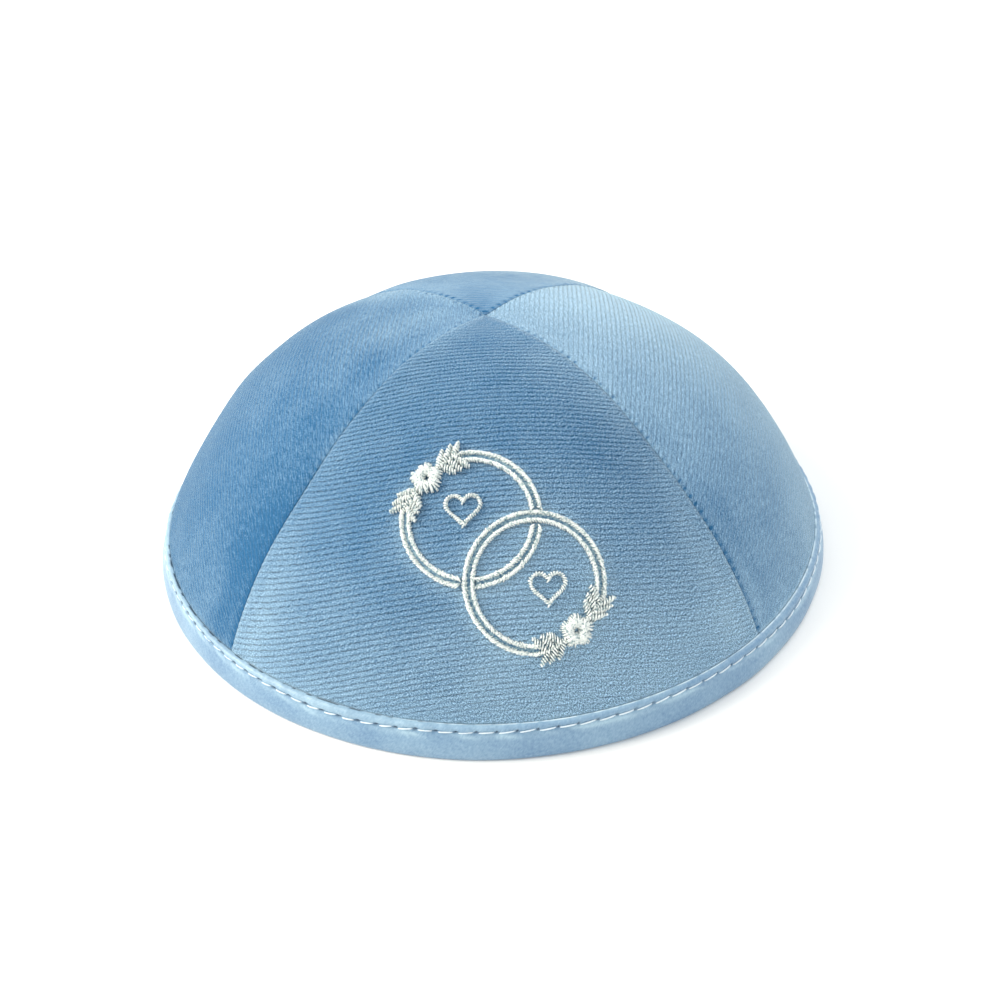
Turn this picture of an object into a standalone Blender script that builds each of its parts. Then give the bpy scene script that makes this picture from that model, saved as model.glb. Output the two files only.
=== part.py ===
"""A round skullcap of four cloth panels sewn to a peak, with a folded binding round its edge and
raised embroidery on the front panel.

The cap rests on its edge with the open side down. The origin is the middle of the rim on the
resting plane, +Z points to the peak and the embroidered panel faces -Y. The tables below are in
millimetres, and every mesh is in metres.
"""

import math

import bmesh
import bpy
import numpy as np

MM = 0.001

# The outer face of the cloth above the binding, as the distance from the origin. A panel bulges
# between its seams, so the middle of a panel lies further out than the seams half way down.
CROWN_COLUMNS = ("angle_from_vertical_deg", "seam_mm", "panel_middle_mm")
CROWN = (
    (0.0, 51.5, 51.5),
    (14.0, 53.2, 52.7),
    (28.0, 55.3, 54.9),
    (42.0, 57.3, 58.2),
    (56.0, 60.5, 62.5),
    (70.0, 66.4, 67.1),
    (84.5, 73.0, 73.0),
)

# Soft irregularities of the cloth: broad swellings of the crown, and places where the side panels
# draw the rim in. Turns run from -Y towards +X.
SWELLING_COLUMNS = ("turn_deg", "angle_deg", "turn_spread_deg", "angle_spread_deg", "height_mm")
SWELLINGS = (
    (-120.0, 46.0, 22.0, 12.0, 0.7),
    (105.0, 80.0, 18.0, 9.0, 0.5),
    (-99.0, 84.0, 18.0, 9.0, 0.6),
    (185.0, 40.0, 30.0, 12.0, -0.3),
)
RIM_DRAW_COLUMNS = ("turn_deg", "spread_deg", "depth_mm")
RIM_DRAWS = (
    (104.0, 18.0, 1.6),
    (-104.0, 18.0, 1.6),
)
RIM_DRAW_STARTS_DEG = 62.0

# Panels: one wall of velvet, doubled by the turned-in edge of the cloth along each seam.
PANEL_TURNS = {"gore_front": 0.0, "gore_right": 90.0, "gore_back": 180.0, "gore_left": -90.0}
CLOTH = 1.6
SEAM_ALLOWANCE_WIDTH = 6.0
SEAM_ALLOWANCE_THICKNESS = 0.7
SEAM_ALLOWANCE_SLOPE = 0.8
SEAM_GAP = 0.3
TIP_ANGLE_DEG = 0.6
TIP_ALLOWANCE_SHARE = 0.3
FULL_ANGLE_DEG = 82.3
HEM_ENTRY_ANGLE_DEG = 83.6
HEM_ENTRY_THICKNESS = 1.3
PANEL_ROWS = 14
PANEL_MIDDLE_COLUMNS = 8
# Near the peak, where a panel is narrow, its bands keep to these shares of its half width.
MOST_ALLOWANCE_SHARE = 0.5
MOST_SLOPE_SHARE = 0.08

# The hem: the flattened edge of the panels inside the binding, which leans towards the axis.
HEM_RADIUS = 73.7
HEM_LEAN_DEG = 14.5
HEM_THICKNESS = 1.2
HEM_TOP = 7.7
HEM_BOTTOM = 1.35

# Binding: one strip folded over the hem. The fold rests on the table, the long leg is outside.
BINDING_SEGMENTS = 72
SECTION_COLUMNS = ("radius_mm", "height_mm")
BINDING_SECTION = (
    (72.10, 0.00),
    (74.90, 0.00),
    (75.28, 0.80),
    (75.14, 2.30),
    (74.68, 3.80),
    (74.20, 5.00),
    (74.02, 5.50),
    (74.02, 6.15),
    (73.75, 6.85),
    (73.30, 7.18),
    (72.85, 7.05),
    (74.30, 1.19),
    (72.56, 0.74),
    (71.05, 6.60),
    (70.72, 6.98),
    (70.35, 6.70),
    (71.70, 0.80),
)

# Embroidery: two linked rings, each a pair of satin-stitched lines, with a flower and two leafy
# sprays over the ring's open quarter. A heart lies inside each ring.
# Places on the crown are a centre in millimetres, then turns counter-clockwise from the right.
RING_COLUMNS = ("name", "centre_x_mm", "centre_y_mm", "centre_z_mm", "flower_turn_deg", "lift_mm")
RINGS = (
    ("upper", -3.63, -50.07, 36.29, 135.0, 0.0),
    ("lower", 7.80, -58.62, 27.72, -50.0, 0.22),
)
HEART_COLUMNS = ("ring", "right_mm", "up_mm")
HEARTS = (
    ("upper", -1.3, 1.6),
    ("lower", 2.2, -1.0),
)
STROKE_COLUMNS = ("across_in_widths", "rise_in_heights")
STROKE = ((-0.5, 0.0), (-0.42, 0.6), (-0.16, 1.0), (0.16, 1.0), (0.42, 0.6), (0.5, 0.0))
LINE_RADII = (12.92, 11.45)
LINE_WIDTH = 0.95
LINE_HEIGHT = 0.5
RING_LINE_SECTIONS = 25
RING_OPEN_HALF_DEG = 36.0
FLOWER_RADIUS = 2.45
FLOWER_LOBES = 5
FLOWER_SECTIONS = 25
FLOWER_LOBE_DEPTH = 0.62
FLOWER_EYE_RADIUS = 0.45
FLOWER_HEIGHT = 0.6
FLOWER_RING_RADIUS = 11.4
PETAL_COLUMNS = ("share_from_the_eye", "rise_in_heights")
PETAL = ((0.0, 0.0), (0.06, 0.75), (0.35, 1.0), (0.75, 0.9), (1.0, 0.0))
SPRAY_RADIUS = 12.1
SPRAY_TURNS_DEG = (16.5, 24.5, 32.0)
STEM_TURNS_DEG = (6.0, 39.0)
STEM_WIDTHS = (1.1, 0.8, 0.8, 1.1, 1.7)
STEM_HEIGHT = 0.36
LEAF_LENGTH = 3.2
LEAF_WIDTH = 1.25
LEAF_HEIGHT = 0.55
LEAF_SPLAY_DEG = 48.0
LEAF_COLUMNS = ("share_of_length", "share_of_width", "share_of_height")
LEAF = (
    (0.0, 0.35, 0.7),
    (0.2, 0.85, 1.0),
    (0.5, 1.0, 1.0),
    (0.8, 0.6, 0.8),
    (1.0, 0.12, 0.45),
)
HEART_WIDTH = 6.4
HEART_SECTIONS = 28
HEART_LINE_WIDTH = 0.85
HEART_LINE_HEIGHT = 0.45
HEART_STROKE = ((-0.5, 0.0), (-0.3, 0.85), (0.0, 1.0), (0.3, 0.85), (0.5, 0.0))
THREAD_GAP = 0.3
# Undersides lie at different heights, so that no two of the joined strokes share a face.
LEAF_BASES = (THREAD_GAP, THREAD_GAP + 0.04)
STEM_BASE = THREAD_GAP + 0.08
LINE_BASES = {"upper": THREAD_GAP + 0.12, "lower": THREAD_GAP + 0.16}
FLOWER_BASE = THREAD_GAP + 0.2


def clear_scene():
    for obj in list(bpy.data.objects):
        bpy.data.objects.remove(obj, do_unlink=True)


def cloth_material(name, hex_colour, roughness):
    """A Principled BSDF from an sRGB colour such as "8fb4d2"."""
    channels = [int(hex_colour[i : i + 2], 16) / 255 for i in (0, 2, 4)]
    linear = [c / 12.92 if c <= 0.04045 else ((c + 0.055) / 1.055) ** 2.4 for c in channels]
    material = bpy.data.materials.new(name)
    material.use_nodes = True
    shader = material.node_tree.nodes["Principled BSDF"]
    shader.inputs["Base Color"].default_value = (*linear, 1.0)
    shader.inputs["Roughness"].default_value = roughness
    shader.inputs["Metallic"].default_value = 0.0
    return material


def read_table(column, angle):
    """The column's value at an angle, on a smooth curve through the table's rows."""
    angles = np.radians([row[0] for row in CROWN])
    values = np.array([row[column] for row in CROWN])
    slopes = np.gradient(values, angles)
    k = int(np.clip(np.searchsorted(angles, angle) - 1, 0, len(angles) - 2))
    step = angles[k + 1] - angles[k]
    t = (angle - angles[k]) / step
    return (
        (2 * t**3 - 3 * t**2 + 1) * values[k]
        + (t**3 - 2 * t**2 + t) * step * slopes[k]
        + (3 * t**2 - 2 * t**3) * values[k + 1]
        + (t**3 - t**2) * step * slopes[k + 1]
    )


def bell(turn, middle_deg, spread_deg):
    """1 at a turn, fading to both sides of it."""
    away = (math.degrees(turn) - middle_deg + 180) % 360 - 180
    return math.exp(-((away / spread_deg) ** 2))


def rim_draw(turn):
    """How far the rim is drawn in towards the axis at a turn."""
    return sum(depth * bell(turn, middle, spread) for middle, spread, depth in RIM_DRAWS)


def swelling(turn, angle):
    """What the irregularities add to the crown's distance from the origin."""
    total = 0.0
    for middle, height_deg, spread, height_spread, height in SWELLINGS:
        above = (math.degrees(angle) - height_deg) / height_spread
        total += height * bell(turn, middle, spread) * math.exp(-(above**2))
    low = (math.degrees(angle) - RIM_DRAW_STARTS_DEG) / (CROWN[-1][0] - RIM_DRAW_STARTS_DEG)
    low = min(max(low, 0.0), 1.0)
    return total - rim_draw(turn) * low * low * (3 - 2 * low)


def crown_point(turn, angle):
    """The outer face, at a turn from -Y towards +X and an angle from the vertical."""
    from_middle = (turn + math.pi / 4) % (math.pi / 2) - math.pi / 4
    towards_seam = (1 / math.cos(from_middle) - 1) / (math.sqrt(2) - 1)
    distance = (1 - towards_seam) * read_table(2, angle) + towards_seam * read_table(1, angle)
    distance += swelling(turn, angle)
    across = distance * math.sin(angle)
    return np.array(
        (across * math.sin(turn), -across * math.cos(turn), distance * math.cos(angle))
    )


def crown_normal(turn, angle, panel_middle=0.0):
    """The outward normal of the panel whose middle lies at that turn, also along its seams."""
    step = 1e-3
    inner = math.pi / 4 - 2 * step
    turn = min(max(turn, panel_middle - inner), panel_middle + inner)
    down = crown_point(turn, angle + step) - crown_point(turn, angle - step)
    along = crown_point(turn + step, angle) - crown_point(turn - step, angle)
    normal = np.cross(down, along)
    return normal / np.linalg.norm(normal)


def on_crown(point, height):
    """The point's place on the outer face along the line to the origin, raised by a height."""
    turn = math.atan2(point[0], -point[1])
    angle = math.atan2(math.hypot(point[0], point[1]), point[2])
    return crown_point(turn, angle) + height * crown_normal(turn, angle)


def hem_section(across, along):
    """Radius and height of a point of the hem, across its thickness and along it from the rim."""
    lean = math.radians(HEM_LEAN_DEG)
    radius = HEM_RADIUS - along * math.sin(lean) + across * math.cos(lean)
    return radius, along * math.cos(lean) + across * math.sin(lean)


def add_faces(mesh, loops, ring_closed):
    """Joins closed loops of equal length with quads. Open ends are left for the caller to cap."""
    rows = [[mesh.verts.new(np.asarray(p) * MM) for p in loop] for loop in loops]
    count = len(rows)
    for k in range(count if ring_closed else count - 1):
        here = rows[k]
        there = rows[(k + 1) % count]
        for i in range(len(here)):
            j = (i + 1) % len(here)
            mesh.faces.new((here[i], here[j], there[j], there[i]))
    return rows


def add_object(name, mesh, material, sharp_deg):
    bmesh.ops.recalc_face_normals(mesh, faces=mesh.faces)
    if mesh.calc_volume(signed=True) < 0:
        bmesh.ops.reverse_faces(mesh, faces=mesh.faces)
    data = bpy.data.meshes.new(name)
    mesh.to_mesh(data)
    mesh.free()
    data.materials.append(material)
    data.shade_smooth()
    data.set_sharp_from_angle(angle=math.radians(sharp_deg))
    obj = bpy.data.objects.new(name, data)
    bpy.context.scene.collection.objects.link(obj)
    return obj


def panel_fractions(half_width):
    """Columns across a panel from -1 to 1, and how much thicker the seam allowances make each."""
    allowance = min(SEAM_ALLOWANCE_WIDTH / half_width, MOST_ALLOWANCE_SHARE)
    slope = min(SEAM_ALLOWANCE_SLOPE / half_width, MOST_SLOPE_SHARE)
    middle = np.linspace(allowance + slope - 1, 1 - allowance - slope, PANEL_MIDDLE_COLUMNS + 1)
    left = [-1.0, -1.0 + 0.5 * allowance, -1.0 + allowance]
    fractions = left + list(middle) + [-f for f in reversed(left)]
    band = [SEAM_ALLOWANCE_THICKNESS] * len(left)
    return fractions, band + [0.0] * len(middle) + band


def half_turn(radius):
    """The turn from a panel's middle to its edge, half a seam gap short of the seam's plane."""
    return math.pi / 4 - math.asin(0.5 * SEAM_GAP / radius)


def panel_wall_row(middle, angle, thickness, allowance_share):
    radius = math.hypot(*crown_point(middle, angle)[:2])
    half = half_turn(radius)
    fractions, doubled = panel_fractions(radius * half)
    outer = []
    inner = []
    for fraction, extra in zip(fractions, doubled):
        turn = middle + fraction * half
        point = crown_point(turn, angle)
        wall = thickness + allowance_share * extra
        # Inwards within the upright plane through the axis, so that the seam gap stays open.
        inwards = crown_normal(turn, angle, middle)
        across = np.array((math.cos(turn), math.sin(turn), 0.0))
        inwards = inwards - across * np.dot(inwards, across)
        outer.append(point)
        inner.append(point - wall * inwards / np.linalg.norm(inwards))
    return outer + inner[::-1]


def rim_point(turn, radius, height):
    radius -= rim_draw(turn)
    return (radius * math.sin(turn), -radius * math.cos(turn), height)


def panel_hem_row(middle, along):
    row = []
    for across, order in ((0.5 * HEM_THICKNESS, 1), (-0.5 * HEM_THICKNESS, -1)):
        radius, height = hem_section(across, along)
        half = half_turn(radius)
        fractions, _ = panel_fractions(radius * half)
        turns = [middle + f * half for f in fractions][::order]
        row += [rim_point(turn, radius, height) for turn in turns]
    return row


def cap_wall(mesh, row):
    """Closes a panel's end: the first half of the row is outside, the second half runs back inside."""
    count = len(row)
    for i in range(count // 2 - 1):
        mesh.faces.new((row[i], row[i + 1], row[count - 2 - i], row[count - 1 - i]))


def make_panel(name, turn_deg, material):
    middle = math.radians(turn_deg)
    angles = np.radians(np.linspace(TIP_ANGLE_DEG, FULL_ANGLE_DEG, PANEL_ROWS))
    loops = []
    for k, angle in enumerate(angles):
        loops.append(panel_wall_row(middle, angle, CLOTH, TIP_ALLOWANCE_SHARE if k == 0 else 1.0))
    entry = math.radians(HEM_ENTRY_ANGLE_DEG)
    loops.append(panel_wall_row(middle, entry, HEM_ENTRY_THICKNESS, 0.0))
    loops.append(panel_hem_row(middle, HEM_TOP))
    loops.append(panel_hem_row(middle, HEM_BOTTOM))
    mesh = bmesh.new()
    rows = add_faces(mesh, loops, ring_closed=False)
    cap_wall(mesh, rows[0])
    cap_wall(mesh, rows[-1])
    return add_object(name, mesh, material, 40)


def make_binding(material):
    loops = []
    for k in range(BINDING_SEGMENTS):
        turn = 2 * math.pi * k / BINDING_SEGMENTS
        loops.append([rim_point(turn, radius, height) for radius, height in BINDING_SECTION])
    mesh = bmesh.new()
    add_faces(mesh, loops, ring_closed=True)
    return add_object("binding", mesh, material, 50)


class RingFrame:
    """A flat sheet of paper laid on the crown at a ring's centre, on which the motif is drawn."""

    def __init__(self, centre):
        centre = np.array(centre, float)
        turn = math.atan2(centre[0], -centre[1])
        angle = math.atan2(math.hypot(centre[0], centre[1]), centre[2])
        self.origin = crown_point(turn, angle)
        self.normal = crown_normal(turn, angle)
        right = np.array((1.0, 0.0, 0.0)) - self.normal[0] * self.normal
        self.right = right / np.linalg.norm(right)
        self.up = np.cross(self.normal, self.right)

    def place(self, right, up, height):
        return on_crown(self.origin + right * self.right + up * self.up, height)


def stroke_loops(frame, path, widths, base, heights):
    """The sections of a rounded band along a drawn path, on the crown's face."""
    path = np.array(path, float)
    ahead = np.gradient(path, axis=0)
    ahead /= np.linalg.norm(ahead, axis=1)[:, None]
    loops = []
    for (x, y), (dx, dy), width, height in zip(path, ahead, widths, heights):
        loops.append(
            [
                frame.place(x - dy * s * width, y + dx * s * width, base + h * height)
                for s, h in STROKE
            ]
        )
    return loops


def add_stroke(mesh, frame, path, widths, base, heights):
    rows = add_faces(mesh, stroke_loops(frame, path, widths, base, heights), ring_closed=False)
    mesh.faces.new(rows[0])
    mesh.faces.new(rows[-1][::-1])


def add_ring_line(mesh, frame, radius, flower_turn, base, height):
    start = math.radians(flower_turn + RING_OPEN_HALF_DEG)
    end = math.radians(flower_turn + 360 - RING_OPEN_HALF_DEG)
    turns = np.linspace(start, end, RING_LINE_SECTIONS)
    path = [(radius * math.cos(t), radius * math.sin(t)) for t in turns]
    count = len(path)
    add_stroke(mesh, frame, path, [LINE_WIDTH] * count, base, [height] * count)


def add_flower(mesh, frame, centre, base, height):
    """A lobed ring round an open eye."""
    loops = []
    for k in range(FLOWER_SECTIONS):
        turn = 2 * math.pi * k / FLOWER_SECTIONS
        outside = FLOWER_RADIUS + FLOWER_LOBE_DEPTH * math.cos(FLOWER_LOBES * turn)
        ring = []
        for share, rise in PETAL:
            r = FLOWER_EYE_RADIUS + share * (outside - FLOWER_EYE_RADIUS)
            x = centre[0] + r * math.cos(turn)
            y = centre[1] + r * math.sin(turn)
            ring.append(frame.place(x, y, base + rise * height))
        loops.append(ring)
    add_faces(mesh, loops, ring_closed=True)


def add_leaf(mesh, frame, foot, direction, base):
    along, across = LEAF_LENGTH * math.cos(direction), LEAF_LENGTH * math.sin(direction)
    path = [(foot[0] + along * share, foot[1] + across * share) for share, _, _ in LEAF]
    widths = [LEAF_WIDTH * width for _, width, _ in LEAF]
    heights = [LEAF_HEIGHT * height for _, _, height in LEAF]
    add_stroke(mesh, frame, path, widths, base, heights)


def add_spray(mesh, frame, flower_turn, side):
    """A stem along the ring from the flower, with a pair of leaves at each of three places."""
    steps = np.linspace(*STEM_TURNS_DEG, len(STEM_WIDTHS))
    turns = [math.radians(flower_turn + side * step) for step in steps]
    path = [(SPRAY_RADIUS * math.cos(t), SPRAY_RADIUS * math.sin(t)) for t in turns]
    add_stroke(mesh, frame, path, STEM_WIDTHS, STEM_BASE, [STEM_HEIGHT] * len(path))
    splay = math.radians(LEAF_SPLAY_DEG)
    for turn_deg in SPRAY_TURNS_DEG:
        turn = math.radians(flower_turn + side * turn_deg)
        foot = (SPRAY_RADIUS * math.cos(turn), SPRAY_RADIUS * math.sin(turn))
        forwards = turn + side * math.pi / 2
        for lean, base in zip((-splay, splay), LEAF_BASES):
            add_leaf(mesh, frame, foot, forwards + lean, base)


def embroidery_piece(name, draw, material):
    """One operand of the embroidery's union, kept out of the render."""
    mesh = bmesh.new()
    draw(mesh)
    obj = add_object(name, mesh, material, 60)
    obj.hide_render = True
    obj.display_type = "WIRE"
    return obj


def make_embroidery(material):
    frames = {}
    operands = bpy.data.collections.new("embroidery_strokes")
    bpy.context.scene.collection.children.link(operands)
    pieces = []
    for name, x, y, z, flower_turn, lift in RINGS:
        frame = RingFrame((x, y, z))
        frames[name] = frame
        height = LINE_HEIGHT + lift
        for k, radius in enumerate(LINE_RADII):
            pieces.append(
                embroidery_piece(
                    f"{name}_line_{k}",
                    lambda mesh: add_ring_line(
                        mesh, frame, radius, flower_turn, LINE_BASES[name], height
                    ),
                    material,
                )
            )
        turn = math.radians(flower_turn)
        centre = (FLOWER_RING_RADIUS * math.cos(turn), FLOWER_RING_RADIUS * math.sin(turn))
        pieces.append(
            embroidery_piece(
                f"{name}_flower",
                lambda mesh: add_flower(mesh, frame, centre, FLOWER_BASE, FLOWER_HEIGHT),
                material,
            )
        )
        for side in (-1, 1):
            pieces.append(
                embroidery_piece(
                    f"{name}_spray_{side}",
                    lambda mesh: add_spray(mesh, frame, flower_turn, side),
                    material,
                )
            )
    embroidery = pieces[0]
    embroidery.name = "embroidery"
    embroidery.hide_render = False
    embroidery.display_type = "TEXTURED"
    for piece in pieces[1:]:
        bpy.context.scene.collection.objects.unlink(piece)
        operands.objects.link(piece)
    union = embroidery.modifiers.new("one_body", "BOOLEAN")
    union.operation = "UNION"
    union.operand_type = "COLLECTION"
    union.collection = operands
    union.solver = "EXACT"
    union.use_self = True
    return frames


def heart_outline():
    """A heart with its point down, as its distance in mm from its middle at even turns."""
    t = np.linspace(0, 2 * math.pi, 721)[::-1]
    x = 16 * np.sin(t) ** 3
    y = 13 * np.cos(t) - 5 * np.cos(2 * t) - 2 * np.cos(3 * t) - np.cos(4 * t) + 2.5
    scale = HEART_WIDTH / (x.max() - x.min())
    turns = math.pi / 2 + 2 * math.pi * np.arange(HEART_SECTIONS) / HEART_SECTIONS
    around = np.unwrap(np.arctan2(y, x))
    return turns, np.interp(turns, around - around[0] + math.pi / 2, scale * np.hypot(x, y))


def make_heart(name, frame, right, up, material):
    """A satin-stitched heart outline. Its line is widened along the way to the heart's middle."""
    loops = []
    for turn, radius in zip(*heart_outline()):
        loop = []
        for share, rise in HEART_STROKE:
            r = radius + share * HEART_LINE_WIDTH
            height = THREAD_GAP + rise * HEART_LINE_HEIGHT
            loop.append(frame.place(right + r * math.cos(turn), up + r * math.sin(turn), height))
        loops.append(loop)
    mesh = bmesh.new()
    add_faces(mesh, loops, ring_closed=True)
    return add_object(name, mesh, material, 60)


def main():
    clear_scene()
    for name, turn_deg in PANEL_TURNS.items():
        make_panel(name, turn_deg, cloth_material(f"velvet_{name}", "86afd2", 0.85))
    make_binding(cloth_material("satin_binding", "a9cde4", 0.4))
    frames = make_embroidery(cloth_material("thread_embroidery", "eef6f2", 0.5))
    for ring, right, up in HEARTS:
        thread = cloth_material(f"thread_heart_{ring}", "eef6f2", 0.5)
        make_heart(f"heart_{ring}", frames[ring], right, up, thread)


main()
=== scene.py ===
"""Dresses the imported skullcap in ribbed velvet, satin and stitched thread, and sets its studio.

The cap lies on its rim, its peak up +Z and its embroidered panel towards -Y. Tables are in
millimetres and degrees; meshes and properties are in metres.
"""

import math

import bpy
import numpy as np
from mathutils import Matrix, Vector


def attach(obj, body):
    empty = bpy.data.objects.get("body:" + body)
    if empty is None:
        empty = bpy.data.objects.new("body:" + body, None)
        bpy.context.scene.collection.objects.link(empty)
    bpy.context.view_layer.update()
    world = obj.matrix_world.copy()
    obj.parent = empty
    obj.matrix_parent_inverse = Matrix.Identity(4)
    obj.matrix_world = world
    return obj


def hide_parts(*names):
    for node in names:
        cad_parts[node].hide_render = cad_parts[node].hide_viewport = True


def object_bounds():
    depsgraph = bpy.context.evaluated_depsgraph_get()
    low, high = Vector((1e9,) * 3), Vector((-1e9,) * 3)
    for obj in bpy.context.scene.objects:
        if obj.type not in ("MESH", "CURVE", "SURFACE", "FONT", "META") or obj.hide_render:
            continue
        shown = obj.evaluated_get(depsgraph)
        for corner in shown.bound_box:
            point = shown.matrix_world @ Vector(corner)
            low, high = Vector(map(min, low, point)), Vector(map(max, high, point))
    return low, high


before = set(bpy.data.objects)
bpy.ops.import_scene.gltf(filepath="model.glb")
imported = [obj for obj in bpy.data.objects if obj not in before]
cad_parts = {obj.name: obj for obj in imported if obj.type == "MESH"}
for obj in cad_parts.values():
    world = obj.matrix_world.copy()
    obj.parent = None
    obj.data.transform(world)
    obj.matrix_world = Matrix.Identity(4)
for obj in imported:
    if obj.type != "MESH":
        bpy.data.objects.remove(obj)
CAD_BOX = [list(corner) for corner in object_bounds()]

bl_info = {
    "name": "Velvet Skullcap Dresser",
    "version": (1, 0, 0),
    "blender": (4, 5, 0),
    "location": "View3D > Sidebar > Skullcap",
    "description": "Makes the velvet panels, satin binding and embroidery of a four-panel skullcap",
    "category": "Object",
}

MM = 0.001
BODY = "root"

# The crown's outer face, as the distance from the middle of the rim.
# Columns: angle_from_vertical_deg, seam_mm, panel_middle_mm.
CROWN = (
    (0, 51.5, 51.5),
    (14, 53.2, 52.7),
    (28, 55.3, 54.9),
    (42, 57.3, 58.2),
    (56, 60.5, 62.5),
    (70, 66.4, 67.1),
    (84.5, 73.0, 73.0),
)
# Columns: turn_deg, angle_deg, turn_spread_deg, angle_spread_deg, height_mm.
SWELLINGS = (
    (-120, 46, 22, 12, 0.7),
    (105, 80, 18, 9, 0.5),
    (-99, 84, 18, 9, 0.6),
    (185, 40, 30, 12, -0.3),
)
# Columns: turn_deg, spread_deg, depth_mm.
RIM_DRAWS = ((104, 18, 1.6), (-104, 18, 1.6))
RIM_DRAW_STARTS_DEG = 62.0
CROWN_END_DEG = 84.5
TIP_DEG = 0.12

# The run of the velvet's ribs on each panel. A rib lies where the angle about a level line, set at
# some height under the peak, is the same all along; it leans and bows a little with the cloth.
# Ribbing is how clearly the ribs show, at the middle and beside a seam. Lightness is how far the
# nap is brushed pale, with light and shade painted on it too, and edge lightness how much more or
# less so the fold at a seam is, partly from the pile on the fold and partly painted light and
# shade.
PANEL_COLUMNS = (
    *("name", "turn_deg", "line_height_mm", "lean", "bow", "edge_lift_mm"),
    *("ribbing", "edge_ribbing", "lightness", "edge_lightness", "low_edge_lightness"),
    *("grain", "streaks", "seam_tick_shade"),
)
PANELS = (
    ("gore_front", 0, 25, 0.058, -0.36, 0.12, 1.0, 0.6, 0.30, 0.0, 0.14, 1.5, 0.2, 0.12),
    ("gore_right", 90, -70, -0.03, 0.0, 0.0, 0.45, 0.5, 0.54, 0.12, -0.4, 0.9, 0.9, 0.7),
    ("gore_back", 180, 25, 0.03, -0.3, 0.05, 0.35, 0.6, 0.20, -0.04, -0.04, 0.5, 0.3, 0.8),
    ("gore_left", -90, -90, -0.03, 0.0, 0.0, 0.45, 0.6, 0.11, 0.2, -0.2, 0.6, 0.9, 0.5),
)
EMBROIDERED_PANEL = "gore_front"
# Across the embroidered panel, in mm: where its ribs become brushed over and its pile coarser,
# and where, leftwards, the pile becomes the smoothest.
BRUSHED_SIDE = (4.0, 14.0)
BRUSHED_RIBBING = 0.8
BRUSHED_GRAIN = 1.3
CALM_SIDE = (4.0, -42.0)
CALM_GRAIN = 0.72

# Soft patches: where the nap is brushed lighter or darker and light, shade and highlights are
# painted on it, where the pile's grain is coarser, and where the ribs show more or less.
# Columns: turn_deg, angle_deg, turn_spread_deg, angle_spread_deg, amount.
NAP_AND_PAINTED_LIGHT = (
    (0, 28, 60, 22, -0.15),
    (-34, 80, 10, 16, 0.06),
    (27, 58, 9, 16, -0.10),
    (-20, 84, 30, 12, 0.20),
    (24, 84, 26, 17, 0.40),
    (10, 63, 16, 13, 0.22),
    (40, 57, 10, 12, 0.02),
    (34, 44, 10, 12, -0.12),
    (-30, 58, 14, 14, -0.06),
    (105, 32, 26, 24, 0.38),
    (60, 28, 30, 22, 0.14),
    (57, 72, 11, 15, -0.19),
    (14, 71, 22, 15, 0.06),
    (48.5, 74, 4, 20, -0.24),
    (41.5, 74, 4, 22, 0.16),
    (-48.5, 76, 3.5, 18, -0.30),
    (-41, 76, 4, 20, 0.16),
    (51, 34, 6, 24, 0.10),
    (-50, 30, 5, 24, 0.12),
    (-76, 28, 26, 18, 0.09),
    (-130, 34, 9, 30, 0.22),
    (130, 34, 9, 30, 0.18),
    (0, 7, 45, 11, -0.20),
    (100, 72, 14, 14, 0.20),
    (-90, 12, 60, 16, 0.27),
    (-78, 62, 16, 18, -0.07),
    (-50, 84, 12, 8, 0.12),
    (150, 6, 25, 10, 0.12),
    (118, 45, 14, 30, 0.25),
    (-104, 66, 20, 24, -0.22),
    (-100, 82, 25, 12, -0.30),
    (38, 79, 8, 6, 0.12),
)
GRAINS = ((6, 79, 28, 12, 0.4),)
RIBS = (
    (0, 4, 70, 12, -0.9),
    (0, 26, 50, 12, -0.2),
    (20, 84, 26, 9, -0.35),
    (-80, 24, 30, 16, 0.6),
    (100, 38, 40, 20, 0.25),
)

RIB_SCALE = 60.0
# Rows of each rib from one groove to the next, and a groove's half width, as shares of the pitch.
RIB_PHASES = (0.0, 0.13, 0.36, 0.64, 0.87)
GROOVE_SHARE = 0.15
RIB_JITTER = 0.05
# A groove's depth: its middle value, how far it wanders and over which length, and its ends.
GROOVE_DEPTH, GROOVE_WANDER, GROOVE_LENGTH, GROOVE_DEPTHS = 0.75, 0.35, 1.7, (0.25, 1.1)
MOST_RIBBING = 1.2
# Columns of a panel: distances from the seam in mm, then an even spread between the last ones.
SEAM_COLUMNS = (0.04, 0.2, 0.45, 0.75, 1.15, 1.7, 2.5, 3.8, 5.4, 6.0)
SEAM_COLUMN_SINE = 0.68
EVEN_COLUMNS = 52
PANEL_STEPS = 500
END_STEPS = 40
SEAM_FULL_RADIUS = 20.0
# Beside a seam the cloth rolls in and lifts behind the roll, and each stitch pulls a dimple.
SEAM_ROLL, SEAM_ROLL_WIDTH = 0.13, 0.3
EDGE_LIFT_AT, EDGE_LIFT_WIDTH = 1.1, 1.1
SEAM_DIMPLE, SEAM_DIMPLE_AT, SEAM_DIMPLE_WIDTH = 0.14, 0.5, 0.4
SEAM_STITCH = 1.8
# Painted shade in a seam's stitch dimples: its amount, how far it wanders and over which length.
TICK_SHADE, TICK_WANDER, TICK_LENGTH = 0.7, 0.6, 2.7
EDGE_RIBBING_WIDTH = 1.8
EDGE_LIGHT_WIDTH = 1.3
LOW_EDGE_DEG = (50, 70)
# Just above the binding's lip the ribs lie flatter and the cloth swells, and the velvet is
# painted pale, painted light that lifts the crevice's shade, the more so on the right. Each has an
# amount, its height on the cap and its spread.
LIP_FLAT, LIP_FLAT_AT, LIP_FLAT_SPREAD = 0.4, 7.0, 1.8
LIP_BULGE, LIP_BULGE_AT, LIP_BULGE_SPREAD = 0.05, 7.3, 0.25
LIP_SWELL, LIP_SWELL_LENGTH = 0.6, 1.4
LIP_PALE, LIP_PALE_RIGHT, LIP_PALE_AT, LIP_PALE_SPREAD = 0.25, 0.35, 7.1, 0.28
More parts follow.
